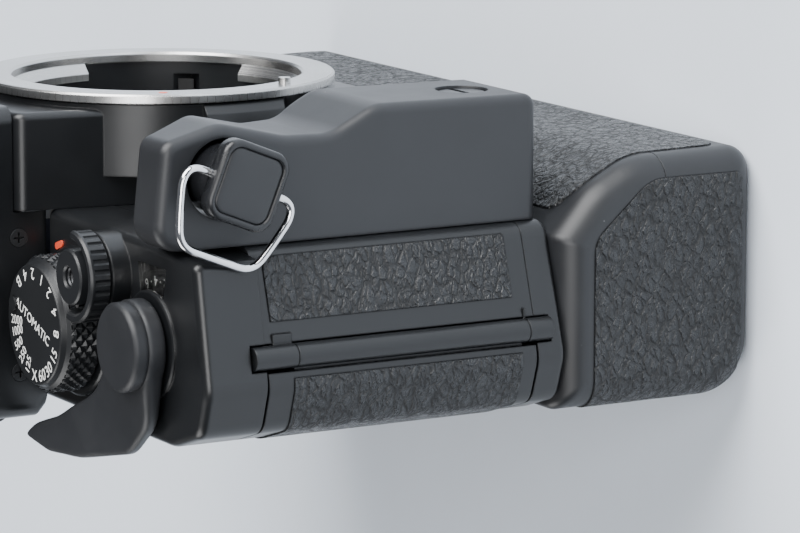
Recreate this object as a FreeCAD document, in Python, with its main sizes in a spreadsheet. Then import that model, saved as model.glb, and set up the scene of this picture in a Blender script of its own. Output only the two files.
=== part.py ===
"""A 35 mm single-lens-reflex camera body without a lens, standing on its motor winder.

Frame, in millimetres: +Z runs from the winder's base to the top plate, the lens looks along -Y, and the
hand grip and wind lever are on the -X side. The origin is the mouth of the tripod socket in the base.
"""

import FreeCAD, Part
import math
import os
import re

import Sketcher

V = FreeCAD.Vector
doc = FreeCAD.newDocument("system_camera")
sheet = doc.addObject("Spreadsheet::Sheet", "Sizes")

SIZES = [
    ("winder_half", 73.0, "half length of the winder"),
    ("winder_front", -20.6, "front face of the winder"),
    ("winder_back", 20.2, "back face of the winder"),
    ("winder_top", 37.5, "height of the winder"),
    ("winder_seam", 18.0, "height of the seam between its two cases"),
    ("winder_wall", 1.8, "wall of the winder's cases"),
    ("base_plane", 37.6, "underside of the camera body"),
    ("bottom_seam", 42.5, "top of the bottom cover"),
    ("top_seam", 91.5, "underside of the top cover"),
    ("top_plate", 102.2, "upper face of the top cover"),
    ("shell_wall", 1.5, "wall of the body's covers"),
    ("front_face", -10.7, "front face of the body"),
    ("back_face", 20.8, "back face of the body"),
    ("front_corner", 67.8, "half length at the front face"),
    ("widest", 74.3, "half length at the widest place"),
    ("part_gap", 0.1, "gap left at a seam between covers"),
    ("free_gap", 0.3, "gap left beside a moving piece"),
    ("fit_gap", 0.05, "radial clearance of a shaft in its hole"),
    ("skin_sunk", 0.4, "depth of leather below the cover"),
    ("skin_proud", 0.25, "height of leather above the cover"),
    ("axis_height", 73.0, "height of the lens axis"),
    ("flange_face", -29.3, "front face of the mount ring"),
    ("ring_radius", 30.0, "outer radius of the mount ring"),
    ("ring_depth", 1.7, "thickness of the mount ring"),
    ("throat_radius", 24.4, "radius of the lens throat"),
    ("cone_radius", 34.5, "radius of the lens cone where it meets the body"),
    ("apron_half", 19.0, "half width of the apron at its top"),
    ("apron_top", 108.0, "top of the apron"),
    ("hinge_x", -73.0, "door hinge axis, sideways"),
    ("hinge_y", 5.7, "door hinge axis, front to back"),
    ("hinge_radius", 1.9, "radius of the hinge knuckles"),
    ("hinge_pin_radius", 0.8, "radius of the hinge pin"),
    ("rod_bottom", 44.6, "lower end of the door's own hinge rod"),
    ("rod_top", 86.2, "upper end of the door's own hinge rod"),
    ("door_edge", 7.9, "front edge of the film door at the hinge end"),
    ("door_end", 64.0, "free end of the film door"),
    ("grip_side", -66.0, "outer face of the hand grip"),
    ("grip_inner", -42.0, "inner face of the hand grip"),
    ("lug_y", -21.6, "strap lug axis, front to back"),
    ("lug_height", 94.7, "strap lug axis, height"),
    ("lug_face", 74.6, "outer face of a strap lug's cap"),
    ("wire_radius", 0.65, "radius of the strap ring's wire"),
    ("dial_x", -29.2, "shutter dial axis, sideways"),
    ("dial_y", 6.0, "shutter dial axis, front to back"),
    ("dial_radius", 10.8, "radius of the shutter dial"),
    ("release_x", -42.2, "release button axis, sideways"),
    ("release_y", -3.8, "release button axis, front to back"),
    ("release_radius", 4.5, "radius of the release button"),
    ("lever_x", -55.6, "wind lever axis, sideways"),
    ("lever_y", 5.4, "wind lever axis, front to back"),
    ("rewind_x", 53.0, "rewind knob axis, sideways"),
    ("rewind_y", 5.0, "rewind knob axis, front to back"),
    ("finder_half", 17.8, "half width of the finder"),
    ("finder_roof", 127.5, "height of the finder's roof"),
    ("gate_half", 18.0, "half width of the film gate"),
    ("gate_rise", 12.0, "half height of the film gate"),
    ("film_plane", 16.2, "film plane, front to back"),
    ("socket_radius", 2.6, "minor radius of the tripod socket's thread"),
    ("socket_depth", 8.0, "depth of the tripod socket"),
    ("wheel_y", -7.0, "attaching screw axis, front to back"),
]
ALIASES = {name for name, _, _ in SIZES}
for row, (name, size, note) in enumerate(SIZES, start=1):
    sheet.set(f"A{row}", note)
    sheet.set(f"B{row}", str(size))
    sheet.setAlias(f"B{row}", name)
doc.recompute()


# ---- expressions and small helpers ---------------------------------------------------------------


def bound(text):
    """An expression as another object reads it: every alias gets the sheet's name in front."""
    return re.sub(r"[a-z][a-z_]+", lambda m: "Sizes." + m[0] if m[0] in ALIASES else m[0], str(text))


def size(text):
    """The present value of an expression."""
    return float(sheet.evalExpression(bound(text)))


def bind(thing, **expressions):
    for path, text in expressions.items():
        thing.setExpression(path, bound(text))
    return thing


TURNS = {
    "z": FreeCAD.Rotation(),
    "x": FreeCAD.Rotation(V(0, 1, 0), 90),
    "y": FreeCAD.Rotation(V(1, 0, 0), -90),
    "-z": FreeCAD.Rotation(V(1, 0, 0), 180),
    "-x": FreeCAD.Rotation(V(0, 1, 0), -90),
    "-y": FreeCAD.Rotation(V(1, 0, 0), 90),
}


def place(thing, at=(0, 0, 0), axis="z"):
    """Stand a piece at a point, its own Z turned to the axis named."""
    turn = TURNS[axis] if isinstance(axis, str) else axis
    thing.Placement = FreeCAD.Placement(V(*[size(c) for c in at]), turn)
    for letter, text in zip("xyz", at):
        thing.setExpression("Placement.Base." + letter, bound(text))
    return thing


def block(label, x, y, z):
    """A box between two limits along each axis."""
    thing = doc.addObject("Part::Box", label)
    bind(thing, Length=f"({x[1]}) - ({x[0]})", Width=f"({y[1]}) - ({y[0]})", Height=f"({z[1]}) - ({z[0]})")
    return place(thing, (x[0], y[0], z[0]))


def rod(label, at, radius, length, axis="z"):
    thing = doc.addObject("Part::Cylinder", label)
    bind(thing, Radius=radius, Height=length)
    return place(thing, at, axis)


def plane_of(body, role):
    return next(f for f in body.Origin.OriginFeatures if f.Role == role)


def outline(body, name, plane, lift, points):
    """A closed sketch of straight lines whose corners are bound to the sheet."""
    sketch = body.newObject("Sketcher::SketchObject", name)
    sketch.AttachmentSupport = [(plane_of(body, plane), "")]
    sketch.MapMode = "FlatFace"
    sketch.setExpression("AttachmentOffset.Base.z", bound(lift))
    spots = [V(size(p[0]), size(p[1]), 0) for p in points]
    count = len(spots)
    sketch.addGeometry([Part.LineSegment(spots[i], spots[(i + 1) % count]) for i in range(count)], False)
    for i in range(count):
        sketch.addConstraint(Sketcher.Constraint("Coincident", i, 2, (i + 1) % count, 1))
        for kind, spot, text in (
            ("DistanceX", spots[i].x, points[i][0]), ("DistanceY", spots[i].y, points[i][1])
        ):
            index = sketch.addConstraint(Sketcher.Constraint(kind, -1, 1, i, 1, spot))
            if re.search("[a-z]", str(text)):
                sketch.setExpression(f"Constraints[{index}]", bound(text))
    return sketch


def edges_where(shape, test):
    return [f"Edge{i}" for i, edge in enumerate(shape.Edges, start=1) if test(edge)]


def round_edges(body, radius, test):
    """Round the edges of a body's last feature that pass the test."""
    doc.recompute()
    base = body.Tip
    fillet = body.newObject("PartDesign::Fillet", body.Name + "_round")
    fillet.Base = (base, edges_where(base.Shape, test))
    bind(fillet, Radius=radius)
    doc.recompute()
    return body


def along(edge, direction):
    """True if a straight edge runs along the direction."""
    if not isinstance(edge.Curve, (Part.Line, Part.LineSegment)):
        return False
    return abs(abs(edge.tangentAt(edge.FirstParameter).dot(direction)) - 1) < 1e-6


def level(edge, axis, value, slack=0.01):
    """True if an edge lies wholly in the plane where the axis has the value."""
    box = edge.BoundBox
    low, high = {"x": (box.XMin, box.XMax), "y": (box.YMin, box.YMax), "z": (box.ZMin, box.ZMax)}[axis]
    return abs(low - value) < slack and abs(high - value) < slack


PLANES = {
    "XY_Plane": ("x", "y", V(0, 0, 1)), "XZ_Plane": ("x", "z", V(0, 1, 0)), "YZ_Plane": ("y", "z", V(1, 0, 0))
}


def prism(label, plane, points, low, high):
    """A pad of an outline between two limits; a third value on a corner is its rounding radius."""
    body = doc.addObject("PartDesign::Body", label)
    flip = plane == "XZ_Plane"
    lift = f"-({high})" if flip else low
    sketch = outline(body, label + "_outline", plane, lift, points)
    pad = body.newObject("PartDesign::Pad", label + "_pad")
    pad.Profile = sketch
    bind(pad, Length=f"({high}) - ({low})")
    doc.recompute()
    first, second, direction = PLANES[plane]
    radii = {}
    for corner in points:
        if len(corner) > 2:
            radii.setdefault(str(corner[2]), []).append((size(corner[0]), size(corner[1])))

    def near(edge, spots):
        middle = edge.CenterOfMass
        return any(
            math.hypot(getattr(middle, first) - u, getattr(middle, second) - v) < 0.01
            for u, v in spots
        )

    for radius, spots in radii.items():
        round_edges(body, radius, lambda e, s=spots: along(e, direction) and near(e, s))
    return body


def turned(label, profile, at=(0, 0, 0), axis="z"):
    """A solid of revolution from (radius, height) corners."""
    body = doc.addObject("PartDesign::Body", label)
    sketch = outline(body, label + "_profile", "XZ_Plane", 0, profile)
    spin = body.newObject("PartDesign::Revolution", label + "_turn")
    spin.Profile = sketch
    spin.ReferenceAxis = (sketch, ["V_Axis"])
    spin.Angle = 360
    doc.recompute()
    return place(body, at, axis)


def fluted(body, radius, pitch, low, high, count):
    """Cut a ring of round flutes into a turned body."""
    sketch = body.newObject("Sketcher::SketchObject", body.Name + "_flute")
    sketch.AttachmentSupport = [(plane_of(body, "XY_Plane"), "")]
    sketch.MapMode = "FlatFace"
    sketch.setExpression("AttachmentOffset.Base.z", bound(high))
    sketch.addGeometry(Part.Circle(V(size(pitch), 0, 0), V(0, 0, 1), size(radius)), False)
    sketch.addConstraint(Sketcher.Constraint("Radius", 0, size(radius)))
    sketch.addConstraint(Sketcher.Constraint("PointOnObject", 0, 3, -1))
    index = sketch.addConstraint(Sketcher.Constraint("DistanceX", -1, 1, 0, 3, size(pitch)))
    sketch.setExpression(f"Constraints[{index}]", bound(pitch))
    before = body.Shape.Volume
    pocket = body.newObject("PartDesign::Pocket", body.Name + "_flute_cut")
    pocket.Profile = sketch
    bind(pocket, Length=f"({high}) - ({low})")
    doc.recompute()
    if body.Shape.Volume > before - 1e-6:
        raise RuntimeError(body.Label + ": the flutes cut nothing")
    pattern = body.newObject("PartDesign::PolarPattern", body.Name + "_flutes")
    pattern.Originals = [pocket]
    pattern.Axis = (plane_of(body, "Z_Axis"), [""])
    pattern.Angle = 360
    pattern.Occurrences = count
    body.Tip = pattern
    doc.recompute()
    return body


def fuse(label, *things):
    joined = doc.addObject("Part::MultiFuse", label)
    joined.Shapes = list(things)
    joined.Refine = True
    return joined


def group(label, *things):
    """Several separate solids as one sub-part."""
    held = doc.addObject("Part::Compound", label)
    held.Links = list(things)
    return held


def cut(label, base, *tools):
    less = doc.addObject("Part::Cut", label)
    less.Base = base
    less.Tool = tools[0] if len(tools) == 1 else fuse(label + "_tools", *tools)
    less.Refine = True
    return less


def common(label, first, second):
    shared = doc.addObject("Part::Common", label)
    shared.Base = first
    shared.Tool = second
    shared.Refine = True
    return shared


def mirrored(label, source):
    """The same piece on the other side of the camera."""
    twin = doc.addObject("Part::Mirroring", label)
    twin.Source = source
    twin.Normal = V(1, 0, 0)
    return twin


def grown(points, distance):
    """Move every side of a closed outline outwards, or inwards if the distance is negative.

    Each corner stays bound to the sheet: it moves by a fixed mitre vector times the distance.
    """
    spots = [(size(p[0]), size(p[1])) for p in points]
    count = len(spots)
    turning = sum(
        spots[i][0] * spots[(i + 1) % count][1] - spots[(i + 1) % count][0] * spots[i][1]
        for i in range(count)
    )
    side = 1 if turning > 0 else -1
    normals = []
    for i in range(count):
        du = spots[(i + 1) % count][0] - spots[i][0]
        dv = spots[(i + 1) % count][1] - spots[i][1]
        long = math.hypot(du, dv)
        normals.append((side * dv / long, -side * du / long))
    corners = []
    for i, point in enumerate(points):
        before, after = normals[i - 1], normals[i]
        scale = 1 + before[0] * after[0] + before[1] * after[1]
        mitre = ((before[0] + after[0]) / scale, (before[1] + after[1]) / scale)
        moved = [f"({point[k]}) + ({mitre[k]:.5f}) * ({distance})" for k in (0, 1)]
        if len(point) > 2:
            moved.append(f"{max(size(point[2]) + size(distance), 0.5):.3f}")
        corners.append(tuple(moved))
    return corners


finished = []


def piece(thing, label):
    """Mark a finished sub-part; its label is its name on the bench."""
    thing.Label = label
    finished.append(thing)
    return thing


# ---- outlines ------------------------------------------------------------------------------------

WINDER_SECTION = [
    ("winder_front", 0, 3.5),
    ("winder_front + 0.4", "winder_top * 0.6", 14),
    ("winder_front + 5", "winder_top * 0.83", 14),
    ("winder_front + 12.3", "winder_top", 1),
    ("winder_back", "winder_top", 1),
    ("winder_back", 0, 9),
]

BODY_HALF = [
    ("front_corner", "front_face", 3.2),
    ("widest", "10.2", 5),
    ("widest - 2.5", "back_face - 3.2", 3.5),
    ("widest - 12.3", "back_face", 9),
]

TOP_HALF = [
    ("front_corner - 12", "front_face"),
    ("front_corner + 2.9", "front_face + 1.3", 1.5),
    ("widest", "10.2", 5),
    ("widest - 2.5", "back_face - 3.2", 3.5),
    ("widest - 12.3", "back_face", 9),
]


def both_sides(half):
    """A closed outline from its +X half."""
    return half + [(f"-({u})", *rest) for u, *rest in reversed(half)]


BODY_OUTLINE = both_sides(BODY_HALF)
TOP_OUTLINE = both_sides(TOP_HALF)
FAR = 120
WINDER_SCREWS = [(x, y) for x in (-60, 60) for y in (-14, 14)]
WORM = ("lever_y - 11.8", "winder_top - 11.4")
DIAL = ("dial_x", "dial_y", "top_plate")
RELEASE = ("release_x", "release_y", "top_plate")
LEVER = ("lever_x", "lever_y", "top_plate")
REWIND = ("rewind_x", "rewind_y", "top_plate")
LOCK_PIN = (-24.4, "flange_face - 1", "axis_height - 11.3")
LOCK_SEAT = (-24.4, "flange_face + 6.2", "axis_height - 11.3")
KNOB = (-30.5, -13.8, 59.0)
GRIP_SCREW = (-56, -11.0, 46.4)
RING_X = "-lug_face + 2.6"
SPROCKET = (-33, 8.2)
MIRROR_HINGE = ("film_plane - 5", "axis_height + 14.2")
EYE_HEIGHT = 112


# ---- motor winder --------------------------------------------------------------------------------


def winder_form(label, grow):
    """The winder's outer shape, grown or shrunk all over."""
    end = f"winder_half + {grow}"
    form = prism(label, "YZ_Plane", grown(WINDER_SECTION, grow), f"-({end})", end)
    corner = [(size(end) * side, size(f"winder_back + {grow}")) for side in (-1, 1)]

    def back_corner(edge):
        middle = edge.CenterOfMass
        return along(edge, V(0, 0, 1)) and any(
            math.hypot(middle.x - u, middle.y - v) < 0.01
            for u, v in corner
        )

    round_edges(form, f"5 + {grow}", back_corner)
    return form


def winder():
    form = winder_form("winder_form", "0")
    room = prism(
        "winder_room",
        "YZ_Plane",
        grown(WINDER_SECTION, "-winder_wall"),
        "-winder_half + winder_wall + 1.5",
        "winder_half - winder_wall - 1.5",
    )
    band = cut(
        "winder_band", winder_form("winder_grown", "skin_proud"), winder_form("winder_shrunk", "-skin_sunk")
    )
    end_window = prism(
        "winder_end_window",
        "YZ_Plane",
        [
            ("winder_front + 3.8", 3, 1.5),
            ("winder_front + 3.8", 21, 8),
            ("winder_front + 13", 31.4, 5),
            (FAR, 31.4),
            (FAR, 3),
        ],
        "winder_half - 9",
        FAR,
    )
    far_leather = common("winder_far_skin", band, end_window)
    near_leather = piece(mirrored("winder_near_skin", far_leather), "winder_leather_near")
    front_window = prism(
        "winder_front_window",
        "XZ_Plane",
        [
            ("-winder_half + 5.5", 4.5, 3),
            ("winder_half - 5.5", 4.5, 3),
            ("winder_half - 5.5", 34.6, 5),
            ("-winder_half + 5.5", 34.6, 5),
        ],
        -40,
        "winder_front + 11",
    )
    wheel_slot = block("winder_wheel_slot", (-13.2, 13.2), ("winder_front - 2", 6.4), (26.4, 31.4))
    front_leather = cut("winder_front_leather", common("winder_front_skin", band, front_window), wheel_slot)
    far_leathers = piece(group("winder_far_leathers", far_leather, front_leather), "winder_leather_far")
    skins = group("winder_skins", near_leather, far_leathers)
    case = cut("winder_case", form, room, skins)

    # The lower case holds the cells and the tripod bush, the upper one the motor and its gears.
    socket_well = rod("winder_socket_well", (0, 0, -1), "socket_radius + 2.4", 12)
    hatch_well = block("winder_hatch_well", (24, 66), (-10.2, 10.2), (-1, "winder_wall + 0.2"))
    screw_holes = [
        rod(f"winder_screw_hole_{n}", (x, y, -1), 1.3, 12)
        for n, (x, y) in enumerate(WINDER_SCREWS)
    ]
    lower_half = common(
        "winder_lower_half", case, block(
            "winder_lower_part", (-FAR, FAR), (-FAR, FAR), (-5, "winder_seam - part_gap")
        )
    )
    piece(cut("winder_lower_cut", lower_half, socket_well, hatch_well, *screw_holes), "winder_lower_case")
    wheel_shaft = rod("winder_wheel_shaft_hole", (0, "wheel_y", 30), "2.95 + fit_gap", 20)
    coupling_hole = rod("winder_coupling_hole", ("lever_x", "lever_y", 30), "4 + fit_gap", 20)
    switch_slot = block("winder_switch_slot", (-38, -24), ("winder_back - 6", "winder_back + 5"), (24, 30))
    contact_slot = block("winder_contact_slot", (20, 28), (-2, 2), (30, 50))
    upper_half = common(
        "winder_upper_half", case, block("winder_upper_part", (-FAR, FAR), (-FAR, FAR), ("winder_seam", 60))
    )
    piece(
        cut(
            "winder_upper_cut", upper_half, wheel_slot, wheel_shaft, coupling_hole, switch_slot, contact_slot
        ),
        "winder_upper_case",
    )


def winder_works():
    bush = turned(
        "bush_turn",
        [
            ("socket_radius", 0),
            ("socket_radius + 2.3", 0),
            ("socket_radius + 2.3", "winder_wall + 0.4"),
            ("socket_radius + 5", "winder_wall + 0.4"),
            ("socket_radius + 5", "socket_depth"),
            ("socket_radius", "socket_depth"),
        ],
    )
    piece(bush, "tripod_bush")
    cells = [
        rod(f"cell_{n}", (x, y, 9.6), 7.1, 49, "x") for n, (x, y) in enumerate(
            [(-58, 8.2), (-58, -8.2), (8.5, 8.2), (8.5, -8.2)]
        )
    ]
    piece(group("cell_group", *cells), "winder_cells")
    hatch = block("hatch_plate", (24.3, 65.7), (-9.9, 9.9), (0.15, "winder_wall"))
    hatch_grip = block("hatch_grip", (60, 63), (-4, 4), (-0.1, 1))
    hatch_hinge = rod("hatch_hinge", (26.2, -9, 0.95), 0.8, 18, "y")
    hatch_relief = block("hatch_relief", (23, 26.6), (-9.9, 9.9), (0, 2))
    piece(fuse("hatch_join", cut("hatch_cut", hatch, hatch_grip, hatch_relief), hatch_hinge), "battery_cover")
    screws = []
    for n, (x, y) in enumerate(WINDER_SCREWS):
        screw = turned(
            f"base_screw_{n}", [(0, 0.1), (1.25, 0.1), (1.25, 2.1), (0.8, 2.1), (0.8, 8), (0, 8)], (x, y, 0)
        )
        screws.append(
            cut(
                f"base_screw_cut_{n}",
                screw,
                block(f"base_screw_slot_{n}", (x - 1.3, x + 1.3), (y - 0.2, y + 0.2), (0, 0.6)),
            ),
        )
    base_screws = group("base_screw_group", *screws)
    motor = fuse(
        "motor_join",
        rod("motor_can", (-45.6, *WORM), 7.3, 32, "x"),
        rod("motor_nose", (-46.6, *WORM), 3, 2, "x"),
    )
    piece(motor, "winder_motor")
    screw = turned(
        "worm_turn",
        [(0, 0), (1, 0), (1, 1.2), (2.5, 1.2), (2.5, 15.2), (1, 15.2), (1, 16.6), (0, 16.6)],
        (-46.8, *WORM),
        "-x",
    )
    piece(screw, "drive_worm")
    drive = fluted(
        turned("drive_turn", [(0, 0), (9, 0), (9, 4), (4, 4), (4, 13.9), (0, 13.9)]), 0.6, 9.1, 0, 4, 30
    )
    place(drive, ("lever_x", "lever_y", "winder_top - 13.4"))
    dog = block(
        "dog_bar",
        ("lever_x - 2.4", "lever_x + 2.4"),
        ("lever_y - 0.6", "lever_y + 0.6"),
        ("winder_top + 0.4", "winder_top + 2.6"),
    )
    piece(fuse("coupling_join", drive, dog), "winder_coupling")
    wheel = turned("wheel_turn", [(0, 0), (12.6, 0), (12.6, 3.6), (2.95, 3.6), (2.95, 15), (0, 15)])
    fluted(wheel, 0.8, 12.9, 0, 3.6, 48)
    place(wheel, (0, "wheel_y", 27))
    piece(wheel, "attaching_wheel")
    knob = block("switch_knob", (-33, -29), ("winder_back - 1.4", "winder_back + 1.2"), (25.2, 28.8))
    tail = block("switch_tail", (-34.5, -27.5), ("winder_back - 3.6", "winder_back - 2.1"), (22.6, 31.2))
    piece(
        fuse(
            "switch_join",
            knob,
            tail,
            block("switch_neck", (-32, -30), ("winder_back - 2.2", "winder_back - 1.2"), (25.6, 28.4)),
        ),
        "winder_switch",
    )
    return base_screws


# ---- camera body ---------------------------------------------------------------------------------


def body_form(label, grow, low, high, corners=BODY_OUTLINE):
    return prism(label, "XY_Plane", grown(corners, grow) if grow != "0" else corners, low, high)


def hinge_notch(label, low, high):
    return rod(label, ("hinge_x", "hinge_y", low), "hinge_radius + free_gap", f"({high}) - ({low})")


def body_shell():
    """The end walls and front of the body, with the film door and the leathers let into both."""
    low, high = "bottom_seam + part_gap", "top_seam - part_gap"
    form = body_form("body_outer", "0", low, high)
    room = body_form("body_room", "-shell_wall", low, high)
    wall = cut("body_wall", form, room)
    band = cut(
        "body_band",
        body_form("body_grown", "skin_proud", "bottom_seam + 3", "top_seam - 2"),
        body_form("body_shrunk", "-skin_sunk", "bottom_seam + 3", "top_seam - 2"),
    )
    near_window = block(
        "near_window", (-FAR, -60), ("front_face + 1.4", 0.4), ("bottom_seam + 3.5", "top_seam - 2")
    )
    near = piece(common("body_near_skin", band, near_window), "body_leather_near")
    far_window = block(
        "far_window",
        (60, FAR),
        ("front_face + 1.4", "back_face - 2.6"),
        ("bottom_seam + 3.5", "top_seam - 2"),
    )
    front_window = block(
        "front_window", (41, 64), (-20, "front_face + 1"), ("bottom_seam + 3.5", "top_seam - 2")
    )
    far = piece(
        group(
            "body_far_leathers",
            common("body_far_skin", band, far_window),
            common("body_front_skin", band, front_window),
        ),
        "body_leather_far",
    )
    door_window = block(
        "door_window", (-FAR, "door_end - 3"), ("door_edge + 1.2", 40), ("rod_bottom + 0.7", "rod_top + 0.5")
    )
    door_skin = piece(common("door_skin", band, door_window), "door_leather")

    door_room = block("door_room", (-FAR, "door_end + 0.2"), ("door_edge", 40), (0, FAR))
    hinge_room = block("hinge_room", (-FAR, "hinge_x + 4"), ("hinge_y", "door_edge + 1"), (0, FAR))
    throat = block("body_throat", (-21.3, 21.3), (-30, 0), ("axis_height - 17.3", FAR))
    groove = hinge_notch("body_hinge_groove", low, high)
    brackets = []
    for name, bottom, top in (
        ("low", "base_plane + 2.5", "rod_bottom - 0.15"), ("high", "rod_top + 0.15", "top_seam + 2.2")
    ):
        knuckle = rod(
            "knuckle_" + name, ("hinge_x", "hinge_y", bottom), "hinge_radius", f"({top}) - ({bottom})"
        )
        web = block(
            "knuckle_web_" + name,
            ("hinge_x + 0.6", "hinge_x + 3.4"),
            ("hinge_y - 3.4", "hinge_y + 0.4"),
            (f"{bottom} + 4" if name == "low" else bottom, top if name == "low" else f"{top} - 4"),
        )
        bore = rod("knuckle_bore_" + name, ("hinge_x", "hinge_y", f"({bottom}) - 1"), "hinge_pin_radius", 20)
        brackets.append(cut("bracket_" + name, fuse("knuckle_join_" + name, knuckle, web), bore))
    piece(group("bracket_group", *brackets), "hinge_brackets")
    pin_low = "base_plane + 2.6"
    pin = rod("pin_rod", ("hinge_x", "hinge_y", pin_low), "hinge_pin_radius", f"top_seam + 2 - ({pin_low})")
    piece(pin, "hinge_pin")
    piece(
        cut("shell_cut", wall, door_room, hinge_room, throat, groove, near, far, *[b.Base for b in brackets]),
        "body_shell",
    )
    return wall, door_skin


def film_door(wall, door_skin):
    low, high = "bottom_seam + 0.4", "top_seam - 0.4"
    leaf = common(
        "door_leaf", wall, block("door_block", (-FAR, "door_end"), ("door_edge + 0.2", 40), (low, high))
    )
    web = block(
        "door_web",
        ("hinge_x + 0.4", "hinge_x + 1.9"),
        ("hinge_y", "door_edge + 2.4"),
        ("rod_bottom + 0.2", "rod_top - 0.2"),
    )
    barrel = rod("door_barrel", ("hinge_x", "hinge_y", "rod_bottom"), "hinge_radius", "rod_top - rod_bottom")
    bore = rod("door_bore", ("hinge_x", "hinge_y", 40), "hinge_pin_radius + fit_gap", 60)
    piece(cut("door_cut", fuse("door_join", leaf, web, barrel), bore, door_skin), "film_door")
    plate = block(
        "pressure_leaf",
        (-27, 27),
        ("film_plane + 0.4", "film_plane + 1.6"),
        ("axis_height - 15", "axis_height + 15"),
    )
    posts = [
        rod(
            f"pressure_post_{n}",
            (x, "film_plane + 1.5", "axis_height"),
            1.6,
            "back_face - shell_wall - 0.6 - film_plane - 1.5",
            "y",
        )
        for n, x in enumerate((-18, 18))
    ]
    piece(fuse("pressure_join", plate, *posts), "pressure_plate")


def covers():
    """The bottom cover and the top cover, each a tray with its openings."""
    base = body_form("base_form", "0", "base_plane", "bottom_seam")
    low = size("base_plane")
    round_edges(base, 0.8, lambda e: level(e, "z", low))
    base_room = body_form("base_room", "-shell_wall", "base_plane + shell_wall", "bottom_seam")
    base_notch = hinge_notch("base_hinge_notch", "base_plane + 2.2", "bottom_seam")
    holes = [
        rod("base_coupling_hole", ("lever_x", "lever_y", 30), 4.3, 20),
        rod("base_screw_hole", (0, "wheel_y", 30), "2.95 + fit_gap", 20),
        rod("base_rewind_hole", (-40, 8, 30), 1.6, 20),
    ]
    boss = rod("base_screw_boss", (0, "wheel_y", "base_plane"), 3.6, "bottom_seam - base_plane")
    tray = fuse("base_tray", cut("base_hollow", base, base_room), boss)
    piece(cut("base_cut", tray, base_notch, *holes), "bottom_cover")

    top = body_form("top_form", "0", "top_seam", "top_plate", TOP_OUTLINE)
    high = size("top_plate")
    round_edges(top, 1.4, lambda e: level(e, "z", high))
    top_room = body_form("top_room", "-shell_wall", "top_seam", "top_plate - shell_wall", TOP_OUTLINE)
    top_notch = hinge_notch("top_hinge_notch", "top_seam", "top_seam + 2.6")
    apron_bay = block("top_apron_bay", ("-apron_half - 0.1", "apron_half + 0.1"), (-40, -3), (0, FAR))
    finder_well = block("top_finder_well", (-15, 15), (-12, 18), (0, FAR))
    dial_hole = rod("top_dial_hole", ("dial_x", "dial_y", 80), "2 + fit_gap", 40)
    release_hole = rod("top_release_hole", ("release_x", "release_y", 80), "3.2 + fit_gap", 40)
    lever_hole = rod("top_lever_hole", ("lever_x", "lever_y", 80), "2.5 + fit_gap", 40)
    rewind_hole = rod("top_rewind_hole", ("rewind_x", "rewind_y", 80), "3 + fit_gap", 40)
    window = prism(
        "counter_cut",
        "XY_Plane",
        [("lever_x - 5.2", -7.2), ("lever_x + 4.4", -7.2), ("lever_x + 3.4", -2.5), ("lever_x - 4.2", -2.5)],
        90,
        110,
    )
    # The release button stands in a boss that is cut away beside the dial.
    boss = turned(
        "release_boss",
        [("3.2 + fit_gap", -0.5), (6.9, -0.5), (6.9, 3.2), (6.2, 3.7), ("3.2 + fit_gap", 3.7)],
        RELEASE,
    )
    dial_flange = turned(
        "dial_flange",
        [("2 + fit_gap", -0.5), (12.2, -0.5), (12.2, 0.5), (11.8, 0.8), ("2 + fit_gap", 0.8)],
        DIAL,
    )
    dial_room = rod("dial_room", ("dial_x", "dial_y", "top_plate + 0.8"), "dial_radius + 0.5", 20)
    finder_edge = block("dial_flange_edge", ("-finder_half - 0.2", 0), (-20, 30), ("top_plate", 120))
    raised = cut("top_raised", fuse("top_raised_join", boss, dial_flange), dial_room, finder_edge)
    plate = cut(
        "top_tray",
        top,
        top_room,
        top_notch,
        apron_bay,
        finder_well,
        dial_hole,
        release_hole,
        lever_hole,
        rewind_hole,
        window,
    )
    lever_ring = turned("lever_ring", [(2.55, -0.5), (8.6, -0.5), (8.6, 0.3), (8.2, 0.5), (2.55, 0.5)], LEVER)
    comp_step = turned("comp_step", [(3.05, -0.5), (12.4, -0.5), (12.4, 0.9), (12, 1.2), (3.05, 1.2)], REWIND)
    piece(fuse("top_join", plate, raised, lever_ring, comp_step), "top_cover")
    glass = cut(
        "counter_glass_cut",
        prism(
            "counter_pane",
            "XY_Plane",
            [
                ("lever_x - 5.2", -7.2),
                ("lever_x + 4.4", -7.2),
                ("lever_x + 3.4", -2.5),
                ("lever_x - 4.2", -2.5),
            ],
            "top_plate - shell_wall + 0.1",
            "top_plate + 0.05",
        ),
        rod("counter_pane_edge", ("lever_x", "lever_y", "top_plate - 0.6"), 8.65, 5),
    )
    piece(glass, "counter_window")
    disc = turned(
        "counter_turn",
        [("2.5 + fit_gap", 0), (11.5, 0), (11.5, 0.6), ("2.5 + fit_gap", 0.6)],
        ("lever_x", "lever_y", "top_plate - 3"),
    )
    piece(disc, "counter_disc")


# ---- mirror box, lens mount and grip -------------------------------------------------------------


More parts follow.
